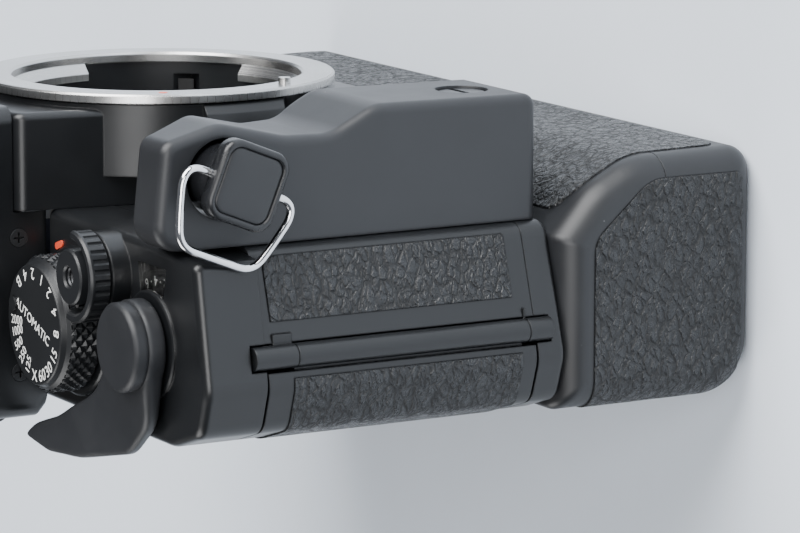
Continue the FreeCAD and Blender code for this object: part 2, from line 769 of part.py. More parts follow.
def apron_and_mount():
    side = [
        ("apron_half", "apron_top", 2),
        ("apron_half + 3", 87),
        ("apron_half + 9", 66),
        ("apron_half + 12", 44, 4),
    ]
    tower = prism("apron_tower", "XZ_Plane", both_sides(side), "flange_face + 2.6", "front_face - 0.05")
    front = size("flange_face + 2.6")
    round_edges(tower, 1.2, lambda e: level(e, "y", front) and e.BoundBox.ZMin > 60)
    cone = turned(
        "lens_cone",
        [
            (0, 0),
            ("cone_radius", 0),
            ("cone_radius - 0.8", 3.5),
            ("ring_radius + 0.6", 15.2),
            ("ring_radius - 0.6", 16.8),
            (0, 16.8),
        ],
        (0, "front_face - 0.05", "axis_height"),
        "-y",
    )
    cone_low = common("cone_low", cone, block("cone_part", (-FAR, FAR), (-FAR, 0), (0, "axis_height + 6")))
    collar = rod("mount_collar", (0, "front_face - 5", "axis_height"), "ring_radius - 0.7", 11.8, "-y")
    bore = rod("apron_bore", (0, 0, "axis_height"), "throat_radius + 0.6", 40, "-y")
    lower_room = block(
        "apron_lower_room", (-20.9, 20.9), (-25.4, 0), ("axis_height - 17.3", "axis_height + 18.5")
    )
    upper_room = block("apron_upper_room", (-17.6, 17.6), (-25.4, 0), ("axis_height + 17", "apron_top - 2"))
    box_room = fuse("apron_room", lower_room, upper_room)
    knob_well = rod("knob_well", (KNOB[0], 0, KNOB[2]), 5.4, 40, "-y")
    lock_hole = rod("lock_pin_hole", LOCK_PIN, "1 + fit_gap", 12, "y")
    ring = turned(
        "ring_turn",
        [
            ("throat_radius", 0),
            ("ring_radius - 0.9", 0),
            ("ring_radius - 0.6", 0.2),
            ("ring_radius", 0.2),
            ("ring_radius", "ring_depth - 0.3"),
            ("ring_radius - 0.3", "ring_depth"),
            ("throat_radius + 0.4", "ring_depth"),
            ("throat_radius", "ring_depth - 0.4"),
        ],
        (0, "flange_face + ring_depth", "axis_height"),
        "-y",
    )
    lugs = []
    for n, angle in enumerate((30, 150, 270)):
        wedge = Part.Face(Part.makePolygon([V(0, 0, 0), *fan(angle, 26, 30), V(0, 0, 0)])).extrude(V(0, 0, 3))
        sector = doc.addObject("Part::Feature", f"lug_sector_{n}")
        sector.Shape = wedge
        place(sector, (0, "flange_face + 4.4", "axis_height"), "-y")
        tube = turned(
            f"lug_tube_{n}",
            [
                ("throat_radius - 1.4", 0),
                ("throat_radius + 0.2", 0),
                ("throat_radius + 0.2", 3),
                ("throat_radius - 1.4", 1.2),
            ],
            (0, "flange_face + 4.4", "axis_height"),
            "-y",
        )
        lugs.append(common(f"bayonet_lug_{n}", tube, sector))
    heads = []
    for n, angle in enumerate((45, 135, 225, 315)):
        across, up = 27.2 * math.cos(math.radians(angle)), 27.2 * math.sin(math.radians(angle))
        heads.append(
            rod(f"mount_screw_{n}", (across, "flange_face + 0.1", f"axis_height + {up:.4f}"), 1.1, 4, "y")
        )
    screws = group("mount_screw_group", *heads)
    dot = rod("index_dot", (-24.8, "flange_face - 0.03", "axis_height + 11.3"), 0.75, 0.4, "y")
    lock_hole_ring = rod("ring_lock_hole", LOCK_PIN, "1 + fit_gap", 12, "y")
    piece(cut("ring_cut", fuse("ring_join", ring, *lugs), lock_hole_ring, screws, dot), "mount_ring")
    piece(
        cut(
            "apron_cut",
            fuse("apron_join", tower, cone_low, collar),
            bore,
            box_room,
            knob_well,
            lock_hole,
            screws,
        ),
        "front_apron",
    )
    piece(rod("lock_pin", LOCK_SEAT, 1, 7.2, "-y"), "lens_lock_pin")
    knob = fluted(
        turned("preview_turn", [(0, 0), (4.9, 0), (4.9, 9.9), (4.3, 10.8), (0, 10.8)]), 0.6, 5.2, 0, 10.8, 18
    )
    place(knob, KNOB, "-y")
    stem = rod("preview_stem", (KNOB[0], "front_face - 2.2", KNOB[2]), 2, 2.2, "-y")
    piece(fuse("preview_join", knob, stem), "preview_knob")
    lever = block("aperture_arm", (-18.2, -16.8), ("flange_face + 6", "flange_face + 16"), (60, 61.5))
    tip = block("aperture_tip", (-18.2, -16.8), ("flange_face + 4.2", "flange_face + 6.2"), (60, 64))
    piece(fuse("aperture_join", lever, tip), "aperture_lever")
    return screws, dot


def fan(middle, half, radius):
    """Points on an arc about the local Z axis, seen from the front."""
    return [
        V(radius * math.cos(math.radians(a)), radius * math.sin(math.radians(a)), 0)
        for a in (middle - half, middle - half / 3, middle + half / 3, middle + half)
    ]


def grip():
    profile = [
        ("front_face - 0.15", "base_plane + 0.6"),
        (-31.0, "base_plane + 0.6", 2),
        (-31.3, 67.5, 6),
        (-27.2, 75.5, 8),
        (-27.4, 83.5, 10),
        (-30.2, 95.2, 6),
        (-27.6, 105, 2.5),
        (-12.5, 106.6, 4),
        ("front_face - 0.15", 103.6),
    ]
    bar = prism("grip_bar", "YZ_Plane", profile, "grip_side", "grip_inner")
    near, far, back = size("grip_side"), size("grip_inner"), size("front_face - 0.15")
    round_edges(bar, 4, lambda e: level(e, "x", far) and e.BoundBox.YMax < back - 1)
    round_edges(bar, 1.6, lambda e: level(e, "x", near) and e.BoundBox.YMax < back - 1)
    # Seen from the front the grip narrows towards the top plate.
    front = [
        ("grip_side - 1", 30),
        ("grip_inner", 30),
        ("grip_inner", 64, 8),
        (-58, 103, 2),
        (-58, 110),
        ("grip_side - 1", 110),
    ]
    form = common("grip_form", bar, prism("grip_outline", "XZ_Plane", front, -40, "front_face + 1"))
    screw_bore = rod("grip_screw_bore", (GRIP_SCREW[0], 0, GRIP_SCREW[2]), "1.5 + fit_gap", 60, "-y")
    screw_sink = rod("grip_screw_sink", (GRIP_SCREW[0], -28.5, GRIP_SCREW[2]), 4.3, 10, "-y")
    lug_bore = rod("grip_lug_bore", ("grip_side - 1", "lug_y", "lug_height"), 6.4, 8.5, "x")
    stay_slot = block(
        "grip_stay_slot", (-62.2, -54.8), ("lug_y - 3.6", 0), ("lug_height - 4.1", "lug_height + 4.1")
    )
    piece(cut("grip_cut", form, screw_bore, screw_sink, lug_bore, stay_slot), "hand_grip")
    screw = turned(
        "grip_screw_turn",
        [(0, 0), (1.5, 0), (1.5, 17.6), (4, 17.6), (4, 19.3), (3.7, 19.7), (0, 19.7)],
        GRIP_SCREW,
        "-y",
    )
    slot = block(
        "grip_screw_slot",
        (GRIP_SCREW[0] - 5, GRIP_SCREW[0] + 5),
        (-40, -29.6),
        (GRIP_SCREW[2] - 0.5, GRIP_SCREW[2] + 0.5),
    )
    piece(cut("grip_screw_cut", screw, slot), "grip_screw")


def strap_lugs():
    """On each side: a stay from the body, a swivelling cap on it, and a wire ring through the cap's stem."""
    stay_bar = block(
        "stay_bar", (-62, -55), ("lug_y - 3.3", "front_face - 0.1"), ("lug_height - 3.9", "lug_height + 3.9")
    )
    stay_hub = rod("stay_hub", (-62.2, "lug_y", "lug_height"), 3.3, 7.2, "x")
    stay_bore = rod("stay_bore", (-70, "lug_y", "lug_height"), "1.7 + fit_gap", 30, "x")
    stay = cut("stay_near", fuse("stay_join", stay_bar, stay_hub), stay_bore)
    piece(group("stay_pair", stay, mirrored("stay_far", stay)), "strap_stays")
    tilt = FreeCAD.Rotation(V(1, 0, 0), 22)
    spot = ("-lug_face", "lug_y", "lug_height")
    cap = prism(
        "lug_cap",
        "YZ_Plane",
        [(-6.4, -6, 2.2), (6.4, -6, 2.2), (6.4, 6, 2.2), (-6.4, 6, 2.2)],
        0,
        1.8,
    )
    round_edges(cap, 0.6, lambda e: level(e, "x", 0))
    place(cap, spot, tilt)
    drum = rod("lug_drum", ("-lug_face + 1.8", "lug_y", "lug_height"), 5.6, "lug_face - 1.8 - 62.6", "x")
    stem = rod("lug_stem", ("-62.7", "lug_y", "lug_height"), 1.7, 7.6, "x")
    wire_bore = doc.addObject("Part::Cylinder", "lug_wire_bore")
    bind(wire_bore, Radius="wire_radius + fit_gap", Height=24)
    down = tilt.multVec(V(0, 0, -12))
    base = (RING_X, f"lug_y + ({down.y:.5f})", f"lug_height + ({down.z:.5f})")
    place(wire_bore, base, tilt)
    cap_body = cut("lug_near", fuse("lug_join", cap, drum, stem), wire_bore)
    piece(cap_body, "strap_cap_near")
    piece(mirrored("lug_far", cap_body), "strap_cap_far")
    ring = doc.addObject("Part::Feature", "ring_near")
    ring.Shape = strap_wire(size("wire_radius"))
    place(ring, (RING_X, "lug_y", "lug_height"), tilt)
    piece(ring, "strap_ring_near")
    piece(mirrored("ring_far", ring), "strap_ring_far")


def strap_wire(radius):
    """The wire ring: two pins in line, then a loop that widens and closes round a far bar."""
    half, reach = 8.2, 12.2
    corners = [
        (0, 3.4),
        (0, half),
        (reach * 0.55, half + 1.6),
        (reach, half - 1.2),
        (reach, -half + 1.2),
        (reach * 0.55, -half - 1.6),
        (0, -half),
        (0, -3.4),
    ]
    bends = [0, 1.9, 3.5, 3.2, 3.2, 3.5, 1.9, 0]
    edges = []
    last = V(0, corners[0][0], corners[0][1])
    for i in range(1, len(corners) - 1):
        here = V(0, *corners[i])
        to_last = (V(0, *corners[i - 1]) - here).normalize()
        to_next = (V(0, *corners[i + 1]) - here).normalize()
        half_angle = to_last.getAngle(to_next) / 2
        trim = bends[i] / math.tan(half_angle)
        start, end = here + to_last * trim, here + to_next * trim
        middle_line = (to_last + to_next).normalize()
        middle = here + middle_line * (bends[i] / math.sin(half_angle) - bends[i])
        edges.append(Part.LineSegment(last, start).toShape())
        edges.append(Part.Arc(start, middle, end).toShape())
        last = end
    edges.append(Part.LineSegment(last, V(0, *corners[-1])).toShape())
    path = Part.Wire(edges)
    section = Part.Wire([Part.Circle(V(0, *corners[0]), V(0, 0, 1), radius).toShape()])
    return path.makePipeShell([section], True, False)


# ---- inside the body -----------------------------------------------------------------------------


def chassis():
    top = "top_seam - 0.4"
    tube = block(
        "mirror_tube",
        (-20.8, 20.8),
        ("flange_face + 4.8", "film_plane - 2.2"),
        ("axis_height - 16.8", "axis_height + 17.6"),
    )
    tube_room = block(
        "mirror_room", (-18.4, 18.4), ("flange_face - 1", "film_plane - 3.6"), (
            "axis_height - 15.4", "axis_height + 30"
        )
    )
    round_room = rod("mirror_mouth", (0, "flange_face + 12", "axis_height"), "throat_radius + 1", 20, "-y")
    frame = block(
        "gate_frame", (-25.2, 38.4), ("film_plane - 3.6", "film_plane - 0.4"), ("bottom_seam + 1.5", top)
    )
    gate = block(
        "film_gate",
        ("-gate_half", "gate_half"),
        (0, 40),
        ("axis_height - gate_rise", "axis_height + gate_rise"),
    )
    rails = [
        block(
            f"film_rail_{n}",
            (-25.2, 38.4),
            ("film_plane - 0.5", "film_plane"),
            (f"axis_height {up}", f"axis_height {up} + 1.2"),
        )
        for n, up in enumerate(("- 15.2", "+ 14"))
    ]
    near_wall = block(
        "near_wall", (-25.2, -23.8), ("front_face + 1.8", "film_plane - 2"), ("bottom_seam + 1.5", top)
    )
    far_wall = block(
        "far_wall", (37, 38.4), ("front_face + 1.8", "film_plane - 2"), ("bottom_seam + 1.5", top)
    )
    floor = block(
        "chamber_floor",
        (-66.5, 65),
        ("front_face + 1.8", "film_plane - 0.6"),
        ("bottom_seam + 0.1", "bottom_seam + 1.6"),
    )
    roof = block(
        "chamber_roof",
        (-66.5, 65),
        ("front_face + 1.8", "film_plane - 0.6"),
        ("top_seam - 1.6", "top_seam - 0.2"),
    )
    holes = [
        rod("spool_top_hole", ("lever_x", "lever_y", 40), "2.5 + fit_gap", 60),
        rod("spool_low_hole", ("lever_x", "lever_y", 40), "3.4 + fit_gap", 6),
        rod("sprocket_hole", (SPROCKET[0], SPROCKET[1], 40), "1.5 + fit_gap", 60),
        rod("rewind_shaft_hole", ("rewind_x", "rewind_y", 60), "3 + fit_gap", 60),
        rod("chassis_boss_room", (0, "wheel_y", 40), 4.2, 8),
        block("screen_room", (-19.4, 19.4), (-18.6, 11.4), ("axis_height + 16.9", 110)),
        block("chassis_hinge_room", (-80, "hinge_x + 5"), (0, 20), (40, 100)),
        block(
            "shutter_slot",
            (-23.4, 36.6),
            ("film_plane - 2.7", "film_plane - 1.9"),
            ("axis_height - 14", "axis_height + 14"),
        ),
        rod("mirror_pin_hole", (-30, MIRROR_HINGE[0], MIRROR_HINGE[1]), "0.8 + fit_gap", 60, "x"),
    ]
    hull = fuse("chassis_join", tube, frame, near_wall, far_wall, floor, roof, *rails)
    piece(cut("chassis_cut", hull, tube_room, round_room, gate, *holes), "chassis")


def mirror_and_screen():
    """The mirror hangs from its rear edge and slopes down towards the lens at 45 degrees."""
    tilt = FreeCAD.Rotation(V(1, 0, 0), 45)

    def slab(label, half, near, far, low, high):
        plate = doc.addObject("Part::Box", label)
        bind(plate, Length=2 * half, Width=far - near, Height=high - low)
        corner = tilt.multVec(V(-half, -far, low))
        at = (corner.x, f"{MIRROR_HINGE[0]} + ({corner.y:.5f})", f"{MIRROR_HINGE[1]} + ({corner.z:.5f})")
        return place(plate, at, tilt)

    piece(slab("mirror_glass_slab", 16.5, 2.4, 34, 0.35, 1.3), "reflex_mirror")
    tray = slab("mirror_tray_slab", 17.4, 0.4, 34.6, -0.5, 0.35)
    pin = rod("mirror_pin", (-19.8, *MIRROR_HINGE), 0.8, 39.6, "x")
    piece(fuse("mirror_join", tray, pin), "mirror_frame")
    screen = block(
        "screen_block", (-19.2, 19.2), (-18.4, 11.2), ("axis_height + 16.95", "axis_height + 18.3")
    )
    piece(screen, "focusing_screen")
    curtain = block(
        "curtain_block",
        (-22, 22),
        ("film_plane - 2.5", "film_plane - 2.1"),
        ("axis_height - 13.5", "axis_height + 13.5"),
    )
    piece(curtain, "shutter_curtain")


def film_path():
    spool = turned(
        "spool_turn",
        [
            (0, "base_plane + 0.8"),
            (3.4, "base_plane + 0.8"),
            (3.4, "bottom_seam + 2"),
            (9.6, "bottom_seam + 2"),
            (9.6, "bottom_seam + 3.2"),
            (6.2, "bottom_seam + 3.2"),
            (6.2, "top_seam - 4"),
            (9.6, "top_seam - 4"),
            (9.6, "top_seam - 2.8"),
            (2.5, "top_seam - 2.8"),
            (2.5, "top_seam + 2"),
            (0, "top_seam + 2"),
        ],
        ("lever_x", "lever_y", 0),
    )
    slot = block(
        "spool_slot",
        ("lever_x - 4", "lever_x + 4"),
        ("lever_y - 0.9", "lever_y + 0.9"),
        ("base_plane", "base_plane + 2.9"),
    )
    piece(cut("spool_cut", spool, slot), "take_up_spool")
    sprocket = turned(
        "sprocket_turn",
        [
            (0, "bottom_seam + 0.3"),
            (1.5, "bottom_seam + 0.3"),
            (1.5, "bottom_seam + 2"),
            (4.2, "bottom_seam + 2"),
            (4.2, 54),
            (5.6, 54),
            (5.6, 58),
            (4.2, 58),
            (4.2, 84),
            (5.6, 84),
            (5.6, 88),
            (1.5, 88),
            (1.5, "top_seam + 2"),
            (0, "top_seam + 2"),
        ],
        (*SPROCKET, 0),
    )
    fluted(sprocket, 1.4, 5.9, 50, 89.5, 8)
    piece(sprocket, "film_sprocket")


# ---- top controls --------------------------------------------------------------------------------


def shutter_controls():
    dial = turned(
        "dial_turn",
        [
            (0, -6),
            (2, -6),
            (2, 1.1),
            ("dial_radius - 0.2", 1.1),
            ("dial_radius", 1.4),
            ("dial_radius", 6.1),
            ("dial_radius - 0.7", 6.8),
            ("dial_radius - 1", 7.6),
            ("dial_radius - 1.2", 7.8),
            (0, 7.8),
        ],
        DIAL,
    )
    fluted(dial, 0.42, "dial_radius + 0.12", 1.1, 6.2, 60)
    well = rod("dial_lock_well", ("dial_x + 7.4", "dial_y - 2.3", "top_plate + 5.2"), "1.2 + fit_gap", 5)
    piece(cut("dial_cut", dial, well), "shutter_dial")
    lock = rod("dial_lock", ("dial_x + 7.4", "dial_y - 2.3", "top_plate + 6.2"), 1.2, 2)
    piece(lock, "dial_lock_button")
    button = turned(
        "button_turn",
        [
            (0, -7),
            (3.2, -7),
            (3.2, 5.3),
            ("release_radius", 5.3),
            ("release_radius", 7.6),
            ("release_radius - 0.3", 7.9),
            (1.9, 7.9),
            (1.6, 7.6),
            (1.6, 2.6),
            (0, 2.6),
        ],
        RELEASE,
    )
    piece(button, "release_button")
    collar = turned(
        "collar_turn",
        [(5.3, 3.85), (7.1, 3.85), (7.4, 4.1), (7.4, 7.0), (7.1, 7.4), (6.3, 7.4), (5.9, 7.0), (5.3, 5.0)],
        RELEASE,
    )
    fluted(collar, 0.55, 7.65, 3.8, 6.6, 28)
    gap = prism("collar_gap", "XY_Plane", [(0, 0), (0, -12), (14, -12), (14, 12), (3.2, 12)], 0, 12)
    place(gap, RELEASE)
    piece(cut("collar_cut", collar, gap), "lock_collar")


def wind_lever():
    arm = prism(
        "lever_arm",
        "XY_Plane",
        [
            ("lever_x - 7.2", "lever_y", 2),
            ("lever_x - 4.2", 17.6, 8),
            (-52.5, 23.4, 8),
            (-37.4, 26.8, 20),
            (-28, 27.4, 12),
            (-18.6, 26.2, 0.7),
            (-23.0, 23.4, 9),
            (-30.1, 21.0, 14),
            (-40.0, 15.6, 12),
            (-46.5, 8.0, 3),
            ("lever_x", "lever_y - 4", 1),
        ],
        "top_plate + 0.9",
        "top_plate + 4",
    )
    high = size("top_plate + 4")
    round_edges(arm, 0.9, lambda e: level(e, "z", high))
    hub = turned("lever_hub", [(0, -5.8), (2.5, -5.8), (2.5, 0.9), (7.4, 0.9), (7.4, 4), (0, 4)], LEVER)
    cap = turned("lever_cap", [(0, 4.05), (7.1, 4.05), (7.1, 5.8), (6.6, 6.3), (0, 6.3)], LEVER)
    piece(fuse("lever_join", arm, hub), "wind_lever")
    piece(cap, "wind_lever_cap")


def rewind_side():
    comp = turned("comp_turn", [(3.6, 1.5), (12, 1.5), (12, 4.4), (11.2, 5.2), (3.6, 5.2)], REWIND)
    fluted(comp, 0.45, 12.15, 1.5, 4.4, 60)
    piece(comp, "compensation_dial")
    knob = turned(
        "rewind_turn", [(0, -18), (3, -18), (3, 5.7), (9, 5.7), (9, 9.5), (8.5, 10), (0, 10)], REWIND
    )
    fluted(knob, 0.7, 9.3, 5.7, 10, 30)
    slot = block(
        "crank_slot",
        ("rewind_x - 9.5", "rewind_x + 9.5"),
        ("rewind_y - 2.15", "rewind_y + 2.15"),
        ("top_plate + 7.9", 120),
    )
    pin_hole = rod(
        "crank_pin_hole", ("rewind_x + 5.2", "rewind_y - 3.2", "top_plate + 8.9"), "0.6 + fit_gap", 6.4, "y"
    )
    fork = block(
        "fork_gap", ("rewind_x - 1", "rewind_x + 1"), ("rewind_y - 4", "rewind_y + 4"), (80, "top_plate - 13")
    )
    piece(cut("rewind_cut", knob, slot, pin_hole, fork), "rewind_knob")
    arm = block(
        "crank_arm",
        ("rewind_x - 8.2", "rewind_x + 5.2"),
        ("rewind_y - 1.9", "rewind_y + 1.9"),
        ("top_plate + 8.15", "top_plate + 9.65"),
    )
    eye = rod("crank_eye", ("rewind_x + 5.2", "rewind_y - 1.9", "top_plate + 8.9"), 0.75, 3.8, "y")
    pin = rod("crank_pin", ("rewind_x + 5.2", "rewind_y - 3.1", "top_plate + 8.9"), 0.6, 6.2, "y")
    hole = rod("crank_hole", ("rewind_x - 6", "rewind_y", "top_plate + 8"), "0.8 + fit_gap", 3)
    piece(cut("crank_cut", fuse("crank_join", arm, eye, pin), hole), "rewind_crank")
    handle = turned(
        "handle_turn", [(0, 8.3), (0.8, 8.3), (0.8, 10.2), (2.3, 10.2), (2.3, 12.2), (1.9, 12.6), (0, 12.6)]
    )
    place(handle, ("rewind_x - 6", "rewind_y", "top_plate"))
    piece(handle, "crank_handle")


def finder():
    profile = [
        ("front_face + 0.3", "top_plate + 0.1"),
        ("front_face + 0.3", "apron_top + 0.1"),
        ("flange_face + 1.7", "apron_top + 0.1"),
        ("flange_face + 2.1", "finder_roof - 8.5", 3),
        (-20, "finder_roof", 4),
        (10, "finder_roof", 4),
        (24, "finder_roof - 9", 3),
        (24, "top_plate + 1.3", 1),
        (22.6, "top_plate + 0.1"),
    ]
    shell = prism("finder_form", "YZ_Plane", profile, "-finder_half", "finder_half")
    roof = size("finder_roof")
    side = size("finder_half")
    low = size("apron_top + 3")
    round_edges(
        shell,
        2.6,
        lambda e: (level(e, "x", side) or level(e, "x", -side))
        and e.BoundBox.ZMin > low
        and e.BoundBox.ZMax > roof - 9.6,
    )
    room = prism(
        "finder_room",
        "YZ_Plane",
        [
            (-8.6, "top_plate - 1"),
            (-8.6, "finder_roof - 2.6"),
            (9, "finder_roof - 2.6"),
            (21.8, "finder_roof - 10"),
            (21.8, "top_plate - 1"),
        ],
        "-finder_half + 2",
        "finder_half - 2",
    )
    eye_hole = rod("eye_hole", (0, 20, EYE_HEIGHT), 8, 10, "y")
    bodies = []
    for n, (x, y) in enumerate([(-1, -6.2), (-1, 16), (1, -6.2), (1, 16)]):
        head = rod(
            f"finder_screw_{n}", (f"{x} * (finder_half - 1.4)", y, 107.2), 1.5, 1.5, "x" if x > 0 else "-x"
        )
        bodies.append(head)
    cross = []
    for n, x in enumerate((-1, 1)):
        for m, y in enumerate((-6.2, 16)):
            depth = (f"{x} * (finder_half - 0.25) - 0.4", f"{x} * (finder_half - 0.25) + 0.4")
            cross.append(block(f"cross_up_{n}_{m}", depth, (y - 0.16, y + 0.16), (106.3, 108.1)))
            cross.append(block(f"cross_over_{n}_{m}", depth, (y - 0.9, y + 0.9), (107.04, 107.36)))
    heads = group("finder_screw_heads", *bodies)
    screws = cut("finder_screw_cut", heads, *cross)
    shoe_seat = block("shoe_seat", (-10.6, 10.6), (-11.2, 9.2), ("finder_roof - 0.4", 140))
    shell_cut = cut("finder_cut", shell, room, eye_hole, group("finder_screw_wells", *bodies), shoe_seat)
    piece(shell_cut, "finder_housing")
    prism_glass = prism(
        "prism_glass",
        "YZ_Plane",
        [
            (-8.2, "top_seam + 2"),
            (10.5, "top_seam + 2"),
            (15, "top_plate + 4"),
            (15, 114),
            (3, "finder_roof - 4"),
            (-8.2, 114),
        ],
        -13.6,
        13.6,
    )
    eye = turned(
        "eye_turn",
        [(6.5, 0), (7.95, 0), (7.95, 2.6), (9.8, 2.6), (9.8, 4.4), (9.3, 4.9), (6.9, 4.9), (6.5, 4.5)],
        (0, 21.5, EYE_HEIGHT),
        "y",
    )
    piece(eye, "eyepiece_ring")
    eye_glass = rod("eye_glass", (0, 22.2, EYE_HEIGHT), 6.45, 1.6, "y")
    piece(group("optics_group", prism_glass, eye_glass), "finder_optics")
    base = block("shoe_base", (-10.5, 10.5), (-11, 9), ("finder_roof - 0.4", "finder_roof + 0.5"))
    sides = [
        block(f"shoe_side_{n}", x, (-11, 9), ("finder_roof + 0.5", "finder_roof + 3.4"))
        for n, x in enumerate([(-10.5, -9.35), (9.35, 10.5)])
    ]
    lips = [
        block(f"shoe_lip_{n}", x, (-11, 9), ("finder_roof + 2.6", "finder_roof + 3.4"))
        for n, x in enumerate([(-9.4, -6.4), (6.4, 9.4)])
    ]
    piece(fuse("shoe_join", base, *sides, *lips), "accessory_shoe")
    return screws


def small_trim(base_screws, mount_screws, mount_dot, finder_screws):
    piece(group("cover_screw_group", base_screws, mount_screws, finder_screws), "cover_screws")
    index = prism(
        "index_form",
        "XY_Plane",
        [(-1.4, -0.55, 0.5), (1.4, -0.55, 0.5), (1.4, 0.55, 0.5), (-1.4, 0.55, 0.5)],
        0.02,
        0.25,
    )
    place(index, (-22.8, -5.4, "top_plate"), FreeCAD.Rotation(V(0, 0, 1), 20))
    piece(group("index_group", index, mount_dot), "index_marks")
    terminal = turned(
        "terminal_turn",
        [(1.8, 0), (4.4, 0), (4.4, 2.2), (3.8, 2.8), (1.8, 2.8)],
        (36, "front_face - 0.02", 49),
        "-y",
    )
    piece(terminal, "sync_terminal")


# ---- build and write -----------------------------------------------------------------------------

winder()
base_screws = winder_works()
film_door(*body_shell())
covers()
mount_trim = apron_and_mount()
grip()
strap_lugs()
chassis()
mirror_and_screen()
film_path()
shutter_controls()
wind_lever()
rewind_side()
small_trim(base_screws, *mount_trim, finder())
doc.recompute()

failed = [thing.Name for thing in doc.Objects if {"Invalid", "Error"} & set(thing.State)]
if failed:
    raise RuntimeError("failed objects: " + ", ".join(failed))
for thing in finished:
    if thing.Shape.isNull() or not thing.Shape.isValid() or not thing.Shape.Solids:
        raise RuntimeError(thing.Label + " has no valid solid")
os.makedirs("parts", exist_ok=True)
for thing in finished:
    thing.Shape.exportStep(f"parts/{thing.Label}.step")
print(len(finished), "sub-parts written")
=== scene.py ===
"""Finishes and fine pieces for a 35 mm reflex camera body standing on its motor winder.

Frame, in metres: +Z runs from the winder's base to the top plate, the lens looks along -Y, and the hand
grip and wind lever are on the -X side.
"""

import math

import bmesh
import bpy
from mathutils import Matrix, Vector


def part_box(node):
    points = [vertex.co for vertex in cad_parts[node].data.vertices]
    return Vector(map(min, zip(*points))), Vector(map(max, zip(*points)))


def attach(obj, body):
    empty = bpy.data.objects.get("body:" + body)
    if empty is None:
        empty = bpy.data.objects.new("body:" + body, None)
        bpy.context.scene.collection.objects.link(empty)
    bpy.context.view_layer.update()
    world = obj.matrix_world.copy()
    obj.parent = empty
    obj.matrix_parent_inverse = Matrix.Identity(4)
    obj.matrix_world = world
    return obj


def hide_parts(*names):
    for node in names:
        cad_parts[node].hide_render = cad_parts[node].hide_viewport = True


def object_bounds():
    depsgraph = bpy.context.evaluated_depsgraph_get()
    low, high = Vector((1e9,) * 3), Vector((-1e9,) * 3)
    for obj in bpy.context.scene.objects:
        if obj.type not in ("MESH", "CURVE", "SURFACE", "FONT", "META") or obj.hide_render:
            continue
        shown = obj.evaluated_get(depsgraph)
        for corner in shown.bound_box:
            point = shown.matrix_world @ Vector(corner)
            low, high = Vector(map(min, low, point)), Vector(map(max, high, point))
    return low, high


bl_info = {
    "name": "Reflex camera on a motor winder",
    "version": (1, 0, 0),
    "blender": (4, 5, 0),
    "location": "3D View > Sidebar > Camera",
    "description": "Finishes the packed camera: leather, satin cases, metalwork, marks and stage",
    "category": "Object",
}

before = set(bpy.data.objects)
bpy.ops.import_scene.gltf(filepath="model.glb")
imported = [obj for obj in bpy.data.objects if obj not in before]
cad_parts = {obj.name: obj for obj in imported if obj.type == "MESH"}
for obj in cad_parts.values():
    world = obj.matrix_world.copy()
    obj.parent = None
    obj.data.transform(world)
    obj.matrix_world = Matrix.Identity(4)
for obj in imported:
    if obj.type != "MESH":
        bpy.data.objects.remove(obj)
CAD_BOX = [list(corner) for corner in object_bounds()]
MM = 0.001
LETTER_DEPTH = 0.02 * MM
PANEL_TAB = "Camera"


def middle(node):
    low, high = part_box(node)
    return (low + high) / 2


# ---- nodes and materials --------------------------------------------------------------------------


def add(tree, kind, **settings):
    """A node of the kind, with its properties, and its inputs given by name in `inputs`."""
    node = tree.nodes.new(kind)
    for key, value in settings.pop("inputs", {}).items():
        node.inputs[key].default_value = value
    for key, value in settings.items():
        setattr(node, key, value)
    return node


def wire(tree, *links):
    for source, target in links:
        tree.links.new(source, target)


def sums(tree, operation, *values, clamp=False):
    """A Math node whose inputs are numbers or sockets. Returns its output."""
    node = add(tree, "ShaderNodeMath", operation=operation, use_clamp=clamp)
    for at, value in enumerate(values):
        if isinstance(value, (int, float)):
            node.inputs[at].default_value = value
        else:
            tree.links.new(value, node.inputs[at])
    return node.outputs[0]


def shader_group(name, inputs, outputs):
    """An empty shader group with named sockets, each (name, kind, default)."""
    tree = bpy.data.node_groups.new(name, "ShaderNodeTree")
    for label, kind, default in inputs:
        socket = tree.interface.new_socket(label, in_out="INPUT", socket_type=kind)
        if default is not None:
            socket.default_value = default
    for label, kind in outputs:
        tree.interface.new_socket(label, in_out="OUTPUT", socket_type=kind)
    return tree, tree.nodes.new("NodeGroupInput"), tree.nodes.new("NodeGroupOutput")


VALUE, COLOUR, VECTOR = "NodeSocketFloat", "NodeSocketColor", "NodeSocketVector"


